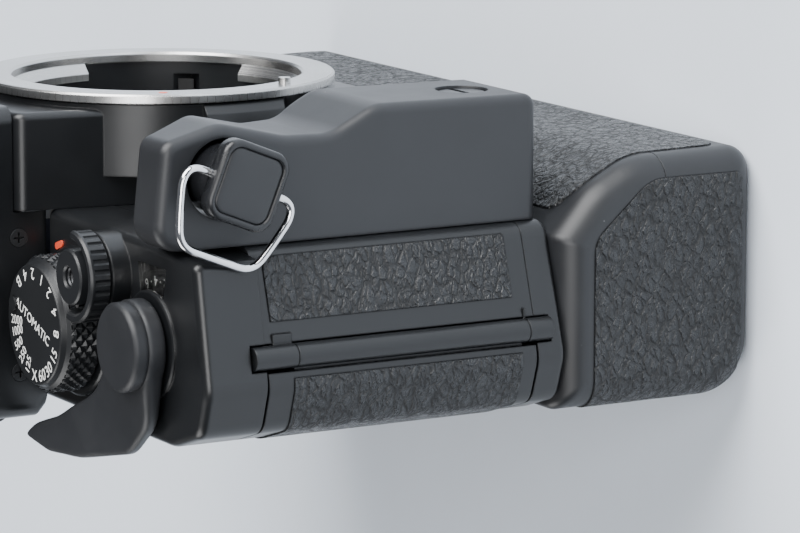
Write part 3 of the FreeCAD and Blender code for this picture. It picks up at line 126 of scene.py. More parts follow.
def skin_group():
    """Fine surface: rounded edges, a shallow grain, patchy gloss and a little dust."""
    tree, given, made = shader_group(
        "fine_skin",
        [
            ("Vector", VECTOR, None),
            ("Colour", COLOUR, (0.02, 0.02, 0.02, 1)),
            ("Patch colour", COLOUR, (0.03, 0.03, 0.03, 1)),
            ("Roughness", VALUE, 0.4),
            ("Roughness spread", VALUE, 0.08),
            ("Grain per metre", VALUE, 4000.0),
            ("Grain depth", VALUE, 0.00001),
            ("Edge radius", VALUE, 0.0003),
            ("Dust", VALUE, 0.2),
        ],
        [("Colour", COLOUR), ("Roughness", VALUE), ("Normal", VECTOR)],
    )
    at = given.outputs
    patches = add(tree, "ShaderNodeTexNoise", inputs={"Scale": 70.0, "Detail": 4.0, "Roughness": 0.6})
    grain = add(tree, "ShaderNodeTexNoise", inputs={"Detail": 3.0, "Roughness": 0.65})
    specks = add(tree, "ShaderNodeTexVoronoi", inputs={"Scale": 330.0, "Randomness": 1.0})
    tint = add(tree, "ShaderNodeMix", data_type="RGBA")
    dusty = add(tree, "ShaderNodeMix", data_type="RGBA", inputs={7: (0.33, 0.34, 0.35, 1)})
    bevel = add(tree, "ShaderNodeBevel", samples=3)
    bump = add(tree, "ShaderNodeBump", inputs={"Strength": 1.0})
    wire(
        tree,
        (at["Vector"], patches.inputs["Vector"]),
        (at["Vector"], grain.inputs["Vector"]),
        (at["Grain per metre"], grain.inputs["Scale"]),
        (at["Vector"], specks.inputs["Vector"]),
        (at["Colour"], tint.inputs[6]),
        (at["Patch colour"], tint.inputs[7]),
        (at["Edge radius"], bevel.inputs["Radius"]),
        (grain.outputs[0], bump.inputs["Height"]),
        (at["Grain depth"], bump.inputs["Distance"]),
        (bevel.outputs[0], bump.inputs["Normal"]),
        (bump.outputs[0], made.inputs["Normal"]),
    )
    mottled = add(tree, "ShaderNodeMapRange", inputs={1: 0.35, 2: 0.65})
    wire(tree, (patches.outputs[0], mottled.inputs[0]), (mottled.outputs[0], tint.inputs[0]))
    # A speck shows only in the few cells whose random colour is above the limit.
    small = add(tree, "ShaderNodeMapRange", inputs={1: 0.05, 2: 0.025})
    rare = add(tree, "ShaderNodeSeparateColor")
    wire(tree, (specks.outputs["Distance"], small.inputs[0]), (specks.outputs["Color"], rare.inputs[0]))
    few = sums(tree, "GREATER_THAN", rare.outputs[0], 0.93)
    shown = sums(tree, "MULTIPLY", sums(tree, "MULTIPLY", small.outputs[0], few), at["Dust"], clamp=True)
    wire(
        tree, (shown, dusty.inputs[0]), (tint.outputs[2], dusty.inputs[6]),
        (dusty.outputs[2], made.inputs["Colour"]),
    )
    swing = sums(tree, "MULTIPLY", sums(tree, "SUBTRACT", patches.outputs[0], 0.5), at["Roughness spread"])
    gloss = sums(tree, "ADD", sums(tree, "MULTIPLY", swing, 2.0), at["Roughness"], clamp=True)
    wire(tree, (gloss, made.inputs["Roughness"]))
    return tree


def leather_group():
    """Creased leather: irregular pebbles between creases, longer folds across them, and fine pores."""
    tree, given, made = shader_group(
        "leather_grain",
        [("Vector", VECTOR, None), ("Pebbles per metre", VALUE, 700.0), ("Depth", VALUE, 0.0002)],
        [("Crease", VALUE), ("Tone", VALUE), ("Normal", VECTOR)],
    )
    at = given.outputs
    slant = add(
        tree,
        "ShaderNodeMapping",
        inputs={
            "Rotation": (math.radians(38), math.radians(22), math.radians(35)), "Scale": (1.0, 0.62, 1.0),
        },
    )
    wander = add(tree, "ShaderNodeTexNoise", inputs={"Detail": 3.0, "Roughness": 0.6})
    shift = add(tree, "ShaderNodeVectorMath", operation="SUBTRACT", inputs={1: (0.5, 0.5, 0.5)})
    scaled = add(tree, "ShaderNodeVectorMath", operation="SCALE")
    moved = add(tree, "ShaderNodeVectorMath", operation="ADD")
    wire(
        tree,
        (at["Vector"], slant.inputs["Vector"]),
        (slant.outputs[0], wander.inputs["Vector"]),
        (sums(tree, "MULTIPLY", at["Pebbles per metre"], 0.55), wander.inputs["Scale"]),
        (wander.outputs["Color"], shift.inputs[0]),
        (shift.outputs[0], scaled.inputs[0]),
        (sums(tree, "DIVIDE", 1.5, at["Pebbles per metre"]), scaled.inputs["Scale"]),
        (slant.outputs[0], moved.inputs[0]),
        (scaled.outputs[0], moved.inputs[1]),
    )
    heights = []
    for factor, wide, weight in ((1.0, 0.20, 0.50), (0.42, 0.16, 0.42), (2.6, 0.25, 0.16)):
        cells = add(tree, "ShaderNodeTexVoronoi", feature="DISTANCE_TO_EDGE")
        dome = add(tree, "ShaderNodeMapRange", interpolation_type="SMOOTHSTEP", inputs={1: 0.0, 2: wide})
        wire(
            tree,
            (moved.outputs[0], cells.inputs["Vector"]),
            (sums(tree, "MULTIPLY", at["Pebbles per metre"], factor), cells.inputs["Scale"]),
            (cells.outputs["Distance"], dome.inputs[0]),
        )
        heights.append(sums(tree, "MULTIPLY", dome.outputs[0], weight))
    pores = add(tree, "ShaderNodeTexNoise", inputs={"Detail": 2.0})
    swell = add(tree, "ShaderNodeTexNoise", inputs={"Detail": 2.0})
    wire(
        tree,
        (at["Vector"], pores.inputs["Vector"]),
        (sums(tree, "MULTIPLY", at["Pebbles per metre"], 6.0), pores.inputs["Scale"]),
        (moved.outputs[0], swell.inputs["Vector"]),
        (sums(tree, "MULTIPLY", at["Pebbles per metre"], 0.5), swell.inputs["Scale"]),
    )
    creased = sums(tree, "ADD", sums(tree, "ADD", heights[0], heights[1]), heights[2])
    height = sums(tree, "ADD", creased, sums(tree, "MULTIPLY", pores.outputs[0], 0.10))
    height = sums(tree, "ADD", height, sums(tree, "MULTIPLY", swell.outputs[0], 0.45))
    bevel = add(tree, "ShaderNodeBevel", samples=3, inputs={"Radius": 0.0003})
    bump = add(tree, "ShaderNodeBump", inputs={"Strength": 1.0})
    wire(
        tree,
        (height, bump.inputs["Height"]),
        (at["Depth"], bump.inputs["Distance"]),
        (bevel.outputs[0], bump.inputs["Normal"]),
        (bump.outputs[0], made.inputs["Normal"]),
        (creased, made.inputs["Crease"]),
        (swell.outputs[0], made.inputs["Tone"]),
    )
    return tree


def turning_group():
    """Fine lines left by a lathe, about the Y or Z axis of the vector given."""
    tree, given, made = shader_group(
        "turned_lines",
        [("Vector", VECTOR, None), ("Lines per metre", VALUE, 9000.0), ("Depth", VALUE, 0.000004)],
        [("Line", VALUE), ("Normal", VECTOR)],
    )
    at = given.outputs
    reach = add(tree, "ShaderNodeVectorMath", operation="LENGTH")
    lines = add(tree, "ShaderNodeTexNoise", noise_dimensions="1D", inputs={"Detail": 2.0})
    bevel = add(tree, "ShaderNodeBevel", samples=3, inputs={"Radius": 0.00025})
    bump = add(tree, "ShaderNodeBump", inputs={"Strength": 1.0})
    wire(
        tree,
        (at["Vector"], reach.inputs[0]),
        (reach.outputs["Value"], lines.inputs["W"]),
        (at["Lines per metre"], lines.inputs["Scale"]),
        (lines.outputs[0], bump.inputs["Height"]),
        (at["Depth"], bump.inputs["Distance"]),
        (bevel.outputs[0], bump.inputs["Normal"]),
        (lines.outputs[0], made.inputs["Line"]),
        (bump.outputs[0], made.inputs["Normal"]),
    )
    return tree


GROUPS = {"fine_skin": skin_group, "leather_grain": leather_group, "turned_lines": turning_group}


def group_node(tree, name, **inputs):
    node = add(tree, "ShaderNodeGroup")
    node.node_tree = bpy.data.node_groups.get(name) or GROUPS[name]()
    for key, value in inputs.items():
        node.inputs[key.replace("_", " ")].default_value = value
    return node


def start_material(name):
    """(material, tree, shader, object coordinates) with the shader wired to the output."""
    material = bpy.data.materials.new(name)
    material.use_nodes = True
    tree = material.node_tree
    tree.nodes.clear()
    shader = add(tree, "ShaderNodeBsdfPrincipled")
    end = add(tree, "ShaderNodeOutputMaterial")
    place = add(tree, "ShaderNodeTexCoord")
    wire(tree, (shader.outputs[0], end.inputs[0]))
    return material, tree, shader, place.outputs["Object"]


def shade(colour, factor):
    return (colour[0] * factor, colour[1] * factor, colour[2] * factor, 1.0)


def skin(
    name, colour, rough, spread=0.08, grain=4000.0, depth=0.000006, edge=0.0003, dust=0.25, patch=1.25,
    **own,
):
    """A painted, moulded or plated surface. `own` sets the shader's own sockets."""
    material, tree, shader, place = start_material(name)
    coat = group_node(
        tree,
        "fine_skin",
        Colour=shade(colour, 1),
        Patch_colour=shade(colour, patch),
        Roughness=rough,
        Roughness_spread=spread,
        Grain_per_metre=grain,
        Grain_depth=depth,
        Edge_radius=edge,
        Dust=dust,
    )
    wire(
        tree,
        (place, coat.inputs["Vector"]),
        (coat.outputs["Colour"], shader.inputs["Base Color"]),
        (coat.outputs["Roughness"], shader.inputs["Roughness"]),
        (coat.outputs["Normal"], shader.inputs["Normal"]),
    )
    for key, value in own.items():
        shader.inputs[key.replace("_", " ")].default_value = value
    return material


def leather(name, settings):
    material, tree, shader, place = start_material(name)
    grain = group_node(
        tree, "leather_grain", Pebbles_per_metre=1 / settings.pebble, Depth=settings.crease_depth,
    )
    # Painted shade and highlight: the crease height darkens the colour in the creases to 0.45 times and
    # lightens it on the pebble tops to 1.25 times.
    painted_crease_shade = add(tree, "ShaderNodeMix", data_type="RGBA")
    painted_crease_shade.inputs[6].default_value = shade(settings.leather_colour, 0.45)
    painted_crease_shade.inputs[7].default_value = shade(settings.leather_colour, 1.25)
    rise = add(tree, "ShaderNodeMapRange", inputs={1: 0.25, 2: 0.95, 3: 0.0, 4: 1.0})
    gloss = add(tree, "ShaderNodeMapRange", inputs={1: 0.2, 2: 1.0, 3: 0.62, 4: settings.leather_gloss})
    wire(
        tree,
        (place, grain.inputs["Vector"]),
        (grain.outputs["Crease"], rise.inputs[0]),
        (grain.outputs["Crease"], gloss.inputs[0]),
        (rise.outputs[0], painted_crease_shade.inputs[0]),
        (painted_crease_shade.outputs[2], shader.inputs["Base Color"]),
        (gloss.outputs[0], shader.inputs["Roughness"]),
        (grain.outputs["Normal"], shader.inputs["Normal"]),
    )
    return material


def turned_metal(name, colour, rough, centre, flat, lines=9000.0, depth=0.000004):
    """Bright metal with lathe lines about a centre.

    `flat` is (1, 0, 1) for a lens axis and (1, 1, 0) for a knob.
    """
    material, tree, shader, place = start_material(name)
    centred = add(
        tree, "ShaderNodeMapping",
        inputs={"Location": tuple(-c * f for c, f in zip(centre, flat)), "Scale": flat},
    )
    cuts = group_node(tree, "turned_lines", Lines_per_metre=lines, Depth=depth)
    coat = group_node(
        tree, "fine_skin", Colour=shade(colour, 1), Patch_colour=shade(colour, 0.88), Roughness=rough,
        Dust=0.0,
    )
    gloss = add(tree, "ShaderNodeMapRange", inputs={1: 0.3, 2: 0.7, 3: rough * 0.8, 4: rough * 1.3})
    wire(
        tree,
        (place, centred.inputs["Vector"]),
        (centred.outputs[0], cuts.inputs["Vector"]),
        (place, coat.inputs["Vector"]),
        (coat.outputs["Colour"], shader.inputs["Base Color"]),
        (cuts.outputs["Line"], gloss.inputs[0]),
        (gloss.outputs[0], shader.inputs["Roughness"]),
        (cuts.outputs["Normal"], shader.inputs["Normal"]),
    )
    shader.inputs["Metallic"].default_value = 1.0
    return material


def coat_nodes(material, *names):
    """The material goes into every slot of the CAD nodes."""
    for name in names:
        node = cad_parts[name]
        node.data.materials.clear()
        node.data.materials.append(material)


# ---- meshes ---------------------------------------------------------------------------------------


def finished(name, shape, material, body, crisp=32.0):
    """A bmesh becomes a named piece that rides on the body.

    Its doubles are merged and its normals turned out.
    """
    bmesh.ops.remove_doubles(shape, verts=shape.verts, dist=1e-7)
    bmesh.ops.recalc_face_normals(shape, faces=shape.faces)
    mesh = bpy.data.meshes.new(name)
    shape.to_mesh(mesh)
    shape.free()
    mesh.shade_smooth()
    mesh.set_sharp_from_angle(angle=math.radians(crisp))
    mesh.materials.append(material)
    piece = bpy.data.objects.new(name, mesh)
    bpy.context.scene.collection.objects.link(piece)
    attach(piece, body)
    return piece


def ring_faces(shape, loops, closed=True):
    """Faces between neighbouring loops of the same count."""
    for low, high in zip(loops, loops[1:]):
        count = len(low)
        for at in range(count if closed else count - 1):
            after = (at + 1) % count
            shape.faces.new((low[at], low[after], high[after], high[at]))


def lathe(shape, profile, placed, steps=96):
    """Turns (radius, height) pairs about the local Z axis. A radius of 0 closes the end with a pole."""
    loops = []
    for radius, height in profile:
        if radius <= 0:
            loops.append([shape.verts.new(placed @ Vector((0, 0, height)))])
            continue
        angles = (2 * math.pi * step / steps for step in range(steps))
        loops.append(
            [
                shape.verts.new(placed @ Vector((radius * math.cos(a), radius * math.sin(a), height)))
                for a in angles
            ]
        )
    for low, high in zip(loops, loops[1:]):
        if len(low) == 1 or len(high) == 1:
            pole, rim = (low[0], high) if len(low) == 1 else (high[0], low)
            for at in range(steps):
                shape.faces.new((pole, rim[at], rim[(at + 1) % steps]))
        else:
            ring_faces(shape, [low, high])


def rounded_square(half_y, half_z, radius, steps=8):
    """Points round a rectangle with rounded corners, in the YZ plane."""
    points = []
    for turn, (side_y, side_z) in enumerate(((1, 1), (-1, 1), (-1, -1), (1, -1))):
        for step in range(steps + 1):
            angle = math.radians(90 * turn + 90 * step / steps)
            y = side_y * (half_y - radius) + radius * math.cos(angle)
            z = side_z * (half_z - radius) + radius * math.sin(angle)
            points.append((y, z))
    return points


def lettering(shape, text, size, depth, placed):
    """Raised text, centred on the local origin in its XY plane, added to the shape."""
    curve = bpy.data.curves.new("lettering", "FONT")
    curve.body, curve.size, curve.extrude = text, size, depth
    curve.align_x, curve.align_y = "CENTER", "CENTER"
    curve.resolution_u = 4
    holder = bpy.data.objects.new("lettering", curve)
    bpy.context.scene.collection.objects.link(holder)
    bpy.context.view_layer.update()
    mesh = bpy.data.meshes.new_from_object(holder.evaluated_get(bpy.context.evaluated_depsgraph_get()))
    xs, ys = [v.co.x for v in mesh.vertices], [v.co.y for v in mesh.vertices]
    centre = Vector(((min(xs) + max(xs)) / 2, (min(ys) + max(ys)) / 2, 0))
    mesh.transform(placed @ Matrix.Translation(-centre))
    shape.from_mesh(mesh)
    bpy.data.objects.remove(holder)
    bpy.data.curves.remove(curve)
    bpy.data.meshes.remove(mesh)


def turned_to(angle):
    return Matrix.Rotation(math.radians(angle), 4, "Z")


def at_point(*place):
    return Matrix.Translation(Vector(place))


# ---- sizes and colours ----------------------------------------------------------------------------


def colour_setting(name, description, default):
    return bpy.props.FloatVectorProperty(
        name=name, description=description, subtype="COLOR", size=3, min=0, max=1, default=default,
    )


def length_setting(name, description, default):
    return bpy.props.FloatProperty(
        name=name, description=description, unit="LENGTH", min=0, default=default, precision=6,
    )


class CoveringSettings(bpy.types.PropertyGroup):
    pebble: length_setting("Pebble", "Width of one pebble of the leather's grain", 0.00135)
    crease_depth: length_setting("Crease depth", "Depth of the leather's creases", 0.00036)
    leather_colour: colour_setting("Leather", "Colour of the leather", (0.010, 0.011, 0.0125))
    leather_gloss: bpy.props.FloatProperty(
        name="Gloss", description="Roughness on top of the pebbles", min=0, max=1, default=0.27,
    )


class CaseSettings(bpy.types.PropertyGroup):
    enamel: colour_setting("Enamel", "Colour of the body's black enamel", (0.0045, 0.005, 0.0058))
    moulding: colour_setting("Moulding", "Colour of the moulded black plastic", (0.0095, 0.0102, 0.0118))
    edge: length_setting("Edge", "Rounding seen along sharp edges", 0.00035)


class MetalSettings(bpy.types.PropertyGroup):
    steel: colour_setting("Steel", "Colour of bright steel", (0.60, 0.595, 0.585))
    chrome: colour_setting("Chrome", "Colour of the strap rings", (0.83, 0.83, 0.84))
    brass: colour_setting("Brass", "Colour of the bare brass", (0.62, 0.44, 0.20))


class MarkSettings(bpy.types.PropertyGroup):
    paint: colour_setting("Paint", "Colour of the filled numbers", (0.80, 0.80, 0.78))
    numeral: length_setting("Numeral", "Type size of the speed dial's numbers", 0.0027)
    word: length_setting("Word", "Type size of the word across the speed dial", 0.0023)
    diamond: length_setting("Diamond", "Width of one diamond of the knurl", 0.00098)


class StageSettings(bpy.types.PropertyGroup):
    floor: colour_setting("Floor", "Colour of the floor", (0.74, 0.80, 0.88))
    key: bpy.props.FloatProperty(
        name="Key light", description="Power of the light above the lens side", unit="POWER", min=0,
        default=42.0,
    )
    fill: bpy.props.FloatProperty(
        name="Fill light", description="Power of the light beside the camera", unit="POWER", min=0,
        default=11.0,
    )
    sky: bpy.props.FloatProperty(
        name="Sky", description="Strength of the light all round", min=0, default=0.16,
    )


# ---- operators ------------------------------------------------------------------------------------


class CAMERA_OT_leather(bpy.types.Operator):
    """Cover the body, the door and the winder with creased leather"""

    bl_idname = "camera_body.leather"
    bl_label = "Leather"

    def execute(self, context):
        material = leather("creased leather", context.scene.camera_covering)
        names = (
            "winder_leather_near", "winder_leather_far", "body_leather_near", "body_leather_far",
            "door_leather",
        )
        coat_nodes(material, *names)
        return {"FINISHED"}


class CAMERA_OT_cases(bpy.types.Operator):
    """Finish the enamelled covers and the moulded plastic parts"""

    bl_idname = "camera_body.cases"
    bl_label = "Cases"

    def execute(self, context):
        settings = context.scene.camera_case
        edge = settings.edge
        enamel = skin("black enamel", settings.enamel, 0.33, grain=5200.0, depth=0.000007, edge=edge)
        coat_nodes(
            enamel, "body_shell", "film_door", "bottom_cover", "top_cover", "front_apron", "finder_housing",
            "hinge_brackets"
        )
        moulding = skin(
            "satin moulding", settings.moulding, 0.42, grain=3800.0, depth=0.000008, edge=edge, dust=0.5,
        )
        coat_nodes(
            moulding, "winder_lower_case", "winder_upper_case", "battery_cover", "preview_knob",
            "winder_switch",
        )
        # Painted sheen: the grip, wind lever and its cap take the moulding colour made 1.25 times lighter,
        # to stand in for the light their sides catch.
        grip = skin(
            "grip moulding", shade(settings.moulding, 1.25)[:3], 0.44, grain=3000.0, depth=0.00001,
            edge=2 * edge, dust=0.8,
        )
        coat_nodes(grip, "hand_grip", "wind_lever", "wind_lever_cap")
        dials = skin(
            "anodised dials", shade(settings.enamel, 1.5)[:3], 0.38, grain=6000.0, depth=0.000005,
            edge=edge / 2,
        )
        coat_nodes(
            dials, "shutter_dial", "dial_lock_button", "lock_collar", "release_button", "compensation_dial",
            "rewind_knob",
        )
        rubber = skin("matt rubber", settings.enamel, 0.72, grain=2600.0, depth=0.00002, edge=edge)
        coat_nodes(rubber, "eyepiece_ring")
        flocked = skin(
            "matt inner black", (0.006, 0.006, 0.0065), 0.85, grain=7000.0, depth=0.00002, edge=edge,
        )
        coat_nodes(flocked, "chassis", "mirror_frame", "pressure_plate")
        inner = skin("dark inner moulding", (0.012, 0.012, 0.013), 0.5, grain=3000.0, edge=edge)
        coat_nodes(inner, "take_up_spool", "film_sprocket", "counter_disc")
        glossy = skin(
            "glossy lug moulding", shade(settings.moulding, 0.75)[:3], 0.26, grain=3000.0, depth=0.000004,
            edge=edge,
        )
        coat_nodes(glossy, "strap_cap_near", "strap_cap_far")
        return {"FINISHED"}


class CAMERA_OT_metalwork(bpy.types.Operator):
    """Finish the steel, chrome and brass parts"""

    bl_idname = "camera_body.metalwork"
    bl_label = "Metalwork"

    def execute(self, context):
        settings = context.scene.camera_metal
        ring = turned_metal("turned mount steel", settings.steel, 0.26, middle("mount_ring"), (1, 0, 1))
        coat_nodes(ring, "mount_ring")
        steel = skin("plain steel", settings.steel, 0.30, patch=0.85, dust=0.0, edge=0.0001, Metallic=1.0)
        coat_nodes(
            steel, "lens_lock_pin", "aperture_lever", "sync_terminal", "accessory_shoe", "strap_stays",
        )
        coat_nodes(steel, "winder_cells", "winder_motor")
        dark = skin("blackened steel", (0.035, 0.036, 0.038), 0.34, dust=0.1, edge=0.0001, Metallic=0.7)
        coat_nodes(
            dark, "cover_screws", "hinge_pin", "rewind_crank", "crank_handle", "grip_screw",
            "attaching_wheel",
        )
        chrome = skin(
            "chrome wire", settings.chrome, 0.12, spread=0.05, patch=0.94, depth=0.000002, dust=0.0,
            edge=0.0, Metallic=1.0,
        )
        coat_nodes(chrome, "strap_ring_near", "strap_ring_far")
        brass = turned_metal("turned brass", settings.brass, 0.32, (0, 0, 0), (1, 1, 0), lines=5000.0)
        coat_nodes(brass, "tripod_bush", "drive_worm", "winder_coupling")
        blades = skin(
            "shutter blades", (0.16, 0.155, 0.15), 0.42, patch=0.8, dust=0.0, edge=0.0, Metallic=0.9,
        )
        coat_nodes(blades, "shutter_curtain")
        return {"FINISHED"}


class CAMERA_OT_optics(bpy.types.Operator):
    """Finish the finder's glass, the focusing screen, the mirror and the counter's window"""

    bl_idname = "camera_body.optics"
    bl_label = "Optics"

    def execute(self, context):
        glass = skin("coated glass", (0.05, 0.055, 0.075), 0.04, spread=0.02, depth=0.0, dust=0.1, edge=0.0)
        glass.node_tree.nodes["Principled BSDF"].inputs["Coat Weight"].default_value = 1.0
        coat_nodes(glass, "finder_optics")
        ground = skin(
            "ground screen", (0.42, 0.43, 0.42), 0.55, grain=9000.0, depth=0.00001, dust=0.0, edge=0.0,
        )
        coat_nodes(ground, "focusing_screen")
        mirror = skin(
            "silvered mirror", (0.86, 0.88, 0.89), 0.03, spread=0.01, patch=0.97, depth=0.0, dust=0.0,
            edge=0.0, Metallic=1.0,
        )
        coat_nodes(mirror, "reflex_mirror")
        pane = skin("clear pane", (0.9, 0.92, 0.93), 0.05, spread=0.01, depth=0.0, dust=0.0, edge=0.0)
        pane.node_tree.nodes["Principled BSDF"].inputs["Transmission Weight"].default_value = 1.0
        coat_nodes(pane, "counter_window")
        red = skin("red filling", (0.62, 0.07, 0.03), 0.45, dust=0.0, edge=0.0)
        coat_nodes(red, "index_marks")
        return {"FINISHED"}


# Each mark of the speed dial, with its angle about the dial's axis in degrees.
DIAL_SPEEDS = (
    ("B", -48), ("4", -68), ("2", -88), ("1", -111), ("2", -133), ("4", -157), ("8", 179), ("15", 153),
    ("30", 130),
    ("60", 110), ("X", 90), ("125", 71), ("250", 52), ("500", 34), ("1000", 17), ("2000", 2),
)


def white_filling(context):
    return bpy.data.materials.get("white filling") or skin(
        "white filling", context.scene.camera_marks.paint, 0.5, patch=0.9, dust=0.0, edge=0.0
    )


class CAMERA_OT_dial_marks(bpy.types.Operator):
    """Number the shutter speed dial"""

    bl_idname = "camera_body.dial_marks"
    bl_label = "Speed dial numbers"

    def execute(self, context):
        settings = context.scene.camera_marks
        low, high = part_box("shutter_dial")
        centre = (low + high) / 2
        shape = bmesh.new()
        rim = (high.x - low.x) / 2 - 1.2 * MM
        face = at_point(centre.x, centre.y, high.z)
        for text, angle in DIAL_SPEEDS:
            if len(text) > 2:
                # A long number runs from the rim towards the middle.
                size = settings.numeral * 0.78
                spot = at_point(rim - 0.65 * MM - 0.29 * size * len(text), 0, 0) @ turned_to(180)
            else:
                size = settings.numeral
                spot = at_point(rim - 1.35 * MM, 0, 0) @ turned_to(90)
            lettering(shape, text, size, LETTER_DEPTH, face @ turned_to(angle) @ spot)
        lettering(
            shape, "AUTOMATIC", settings.word, LETTER_DEPTH,
            face @ at_point(0.6 * MM, -0.5 * MM, 0) @ turned_to(158),
        )
        finished("speed_numbers", shape, white_filling(context), "shutter_dial")
        return {"FINISHED"}


class CAMERA_OT_counter_marks(bpy.types.Operator):
    """Number the frame counter's disc, which shows through its window"""

    bl_idname = "camera_body.counter_marks"
    bl_label = "Counter numbers"

    def execute(self, context):
        low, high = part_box("counter_disc")
        centre = (low + high) / 2
        pane_low, pane_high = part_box("counter_window")
        window = (pane_low + pane_high) / 2 - centre
        start = math.degrees(math.atan2(window.y, window.x))
        reach = (high.x - low.x) / 2 - 1.7 * MM
        shape = bmesh.new()
        for count in range(1, 37):
            text = str(count) if count % 2 == 0 else "."
            angle = start + 9.33 * (count - 3)
            spot = at_point(centre.x, centre.y, high.z) @ turned_to(angle)
            placed = spot @ at_point(reach, 0, 0) @ turned_to(90)
            lettering(shape, text, 2.3 * MM if len(text) < 2 else 1.7 * MM, LETTER_DEPTH, placed)
        finished("counter_numbers", shape, white_filling(context), "counter_disc")
        return {"FINISHED"}


class CAMERA_OT_compensation_marks(bpy.types.Operator):
    """Mark the exposure compensation dial in whole steps, with a dot halfway between each"""

    bl_idname = "camera_body.compensation_marks"
    bl_label = "Compensation marks"

    def execute(self, context):
        low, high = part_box("compensation_dial")
        knob_low, knob_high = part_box("rewind_knob")
        centre = (low + high) / 2
        rim = (high.x - low.x) / 2 - 0.9 * MM
        inner = (knob_high.x - knob_low.x) / 2 + 0.15 * MM
        shape = bmesh.new()
        face = at_point(centre.x, centre.y, high.z)
        for at, text in enumerate(("2", "1", "0", "1", "2")):
            turn = face @ turned_to(-90 + 30 * (at - 2))
            lettering(
                shape, text, 2.2 * MM, LETTER_DEPTH,
                turn @ at_point((rim + inner) / 2, 0, 0) @ turned_to(90),
            )
        for tick in range(-4, 5):
            if tick % 2:
                turn = face @ turned_to(-90 + 15 * tick)
                lettering(shape, ".", 2.4 * MM, LETTER_DEPTH, turn @ at_point((rim + inner) / 2, 0, 0))
        finished("compensation_numbers", shape, white_filling(context), "compensation_dial")
        return {"FINISHED"}


def diamond_tree(material):
    """Rows of small pyramids round the Z axis, each row half a pitch from the next."""
    tree = bpy.data.node_groups.new("diamond_knurl", "GeometryNodeTree")
    face = tree.interface
    face.new_socket("Radius", in_out="INPUT", socket_type=VALUE)
    face.new_socket("Columns", in_out="INPUT", socket_type="NodeSocketInt")
    face.new_socket("Rows", in_out="INPUT", socket_type="NodeSocketInt")
    face.new_socket("Pitch", in_out="INPUT", socket_type=VALUE)
    face.new_socket("Height", in_out="INPUT", socket_type=VALUE)
    face.new_socket("Place", in_out="INPUT", socket_type=VECTOR)
    face.new_socket("Geometry", in_out="OUTPUT", socket_type="NodeSocketGeometry")
    given, made = tree.nodes.new("NodeGroupInput"), tree.nodes.new("NodeGroupOutput")
    at = given.outputs
    rim = add(tree, "GeometryNodeMeshCircle")
    column = add(tree, "GeometryNodeMeshLine", mode="OFFSET")
    climb = add(tree, "ShaderNodeCombineXYZ")
    rows = add(tree, "GeometryNodeInstanceOnPoints")
    index = add(tree, "GeometryNodeInputIndex")
    half = sums(
        tree, "MULTIPLY", sums(tree, "MODULO", index.outputs[0], 2.0),
        sums(tree, "DIVIDE", math.pi, at["Columns"]),
    )
    turn = add(tree, "ShaderNodeCombineXYZ")
    spread = add(tree, "GeometryNodeRealizeInstances")
    spot = add(tree, "GeometryNodeInputPosition")
    outwards = add(tree, "ShaderNodeVectorMath", operation="MULTIPLY", inputs={1: (1, 1, 0)})
    facing = add(tree, "FunctionNodeAlignRotationToVector", axis="Z", pivot_axis="AUTO")
    pyramid = add(tree, "GeometryNodeMeshCone", inputs={"Vertices": 4})
    studs = add(tree, "GeometryNodeInstanceOnPoints")
    solid = add(tree, "GeometryNodeRealizeInstances")
    shift = add(tree, "GeometryNodeTransform")
    painted = add(tree, "GeometryNodeSetMaterial", inputs={"Material": material})
    wire(
        tree,
        (at["Columns"], rim.inputs["Vertices"]),
        (at["Radius"], rim.inputs["Radius"]),
        (at["Rows"], column.inputs["Count"]),
        (at["Pitch"], climb.inputs["Z"]),
        (climb.outputs[0], column.inputs["Offset"]),
        (column.outputs[0], rows.inputs["Points"]),
        (rim.outputs[0], rows.inputs["Instance"]),
        (half, turn.inputs["Z"]),
        (turn.outputs[0], rows.inputs["Rotation"]),
        (rows.outputs[0], spread.inputs[0]),
        (spread.outputs[0], studs.inputs["Points"]),
        (spot.outputs[0], outwards.inputs[0]),
        (outwards.outputs[0], facing.inputs["Vector"]),
        (facing.outputs[0], studs.inputs["Rotation"]),
        (sums(tree, "MULTIPLY", at["Pitch"], 0.98), pyramid.inputs["Radius Bottom"]),
        (at["Height"], pyramid.inputs["Depth"]),
        (pyramid.outputs["Mesh"], studs.inputs["Instance"]),
        (studs.outputs[0], solid.inputs[0]),
        (solid.outputs[0], shift.inputs["Geometry"]),
        (at["Place"], shift.inputs["Translation"]),
        (shift.outputs[0], painted.inputs["Geometry"]),
        (painted.outputs[0], made.inputs[0]),
    )
    return tree


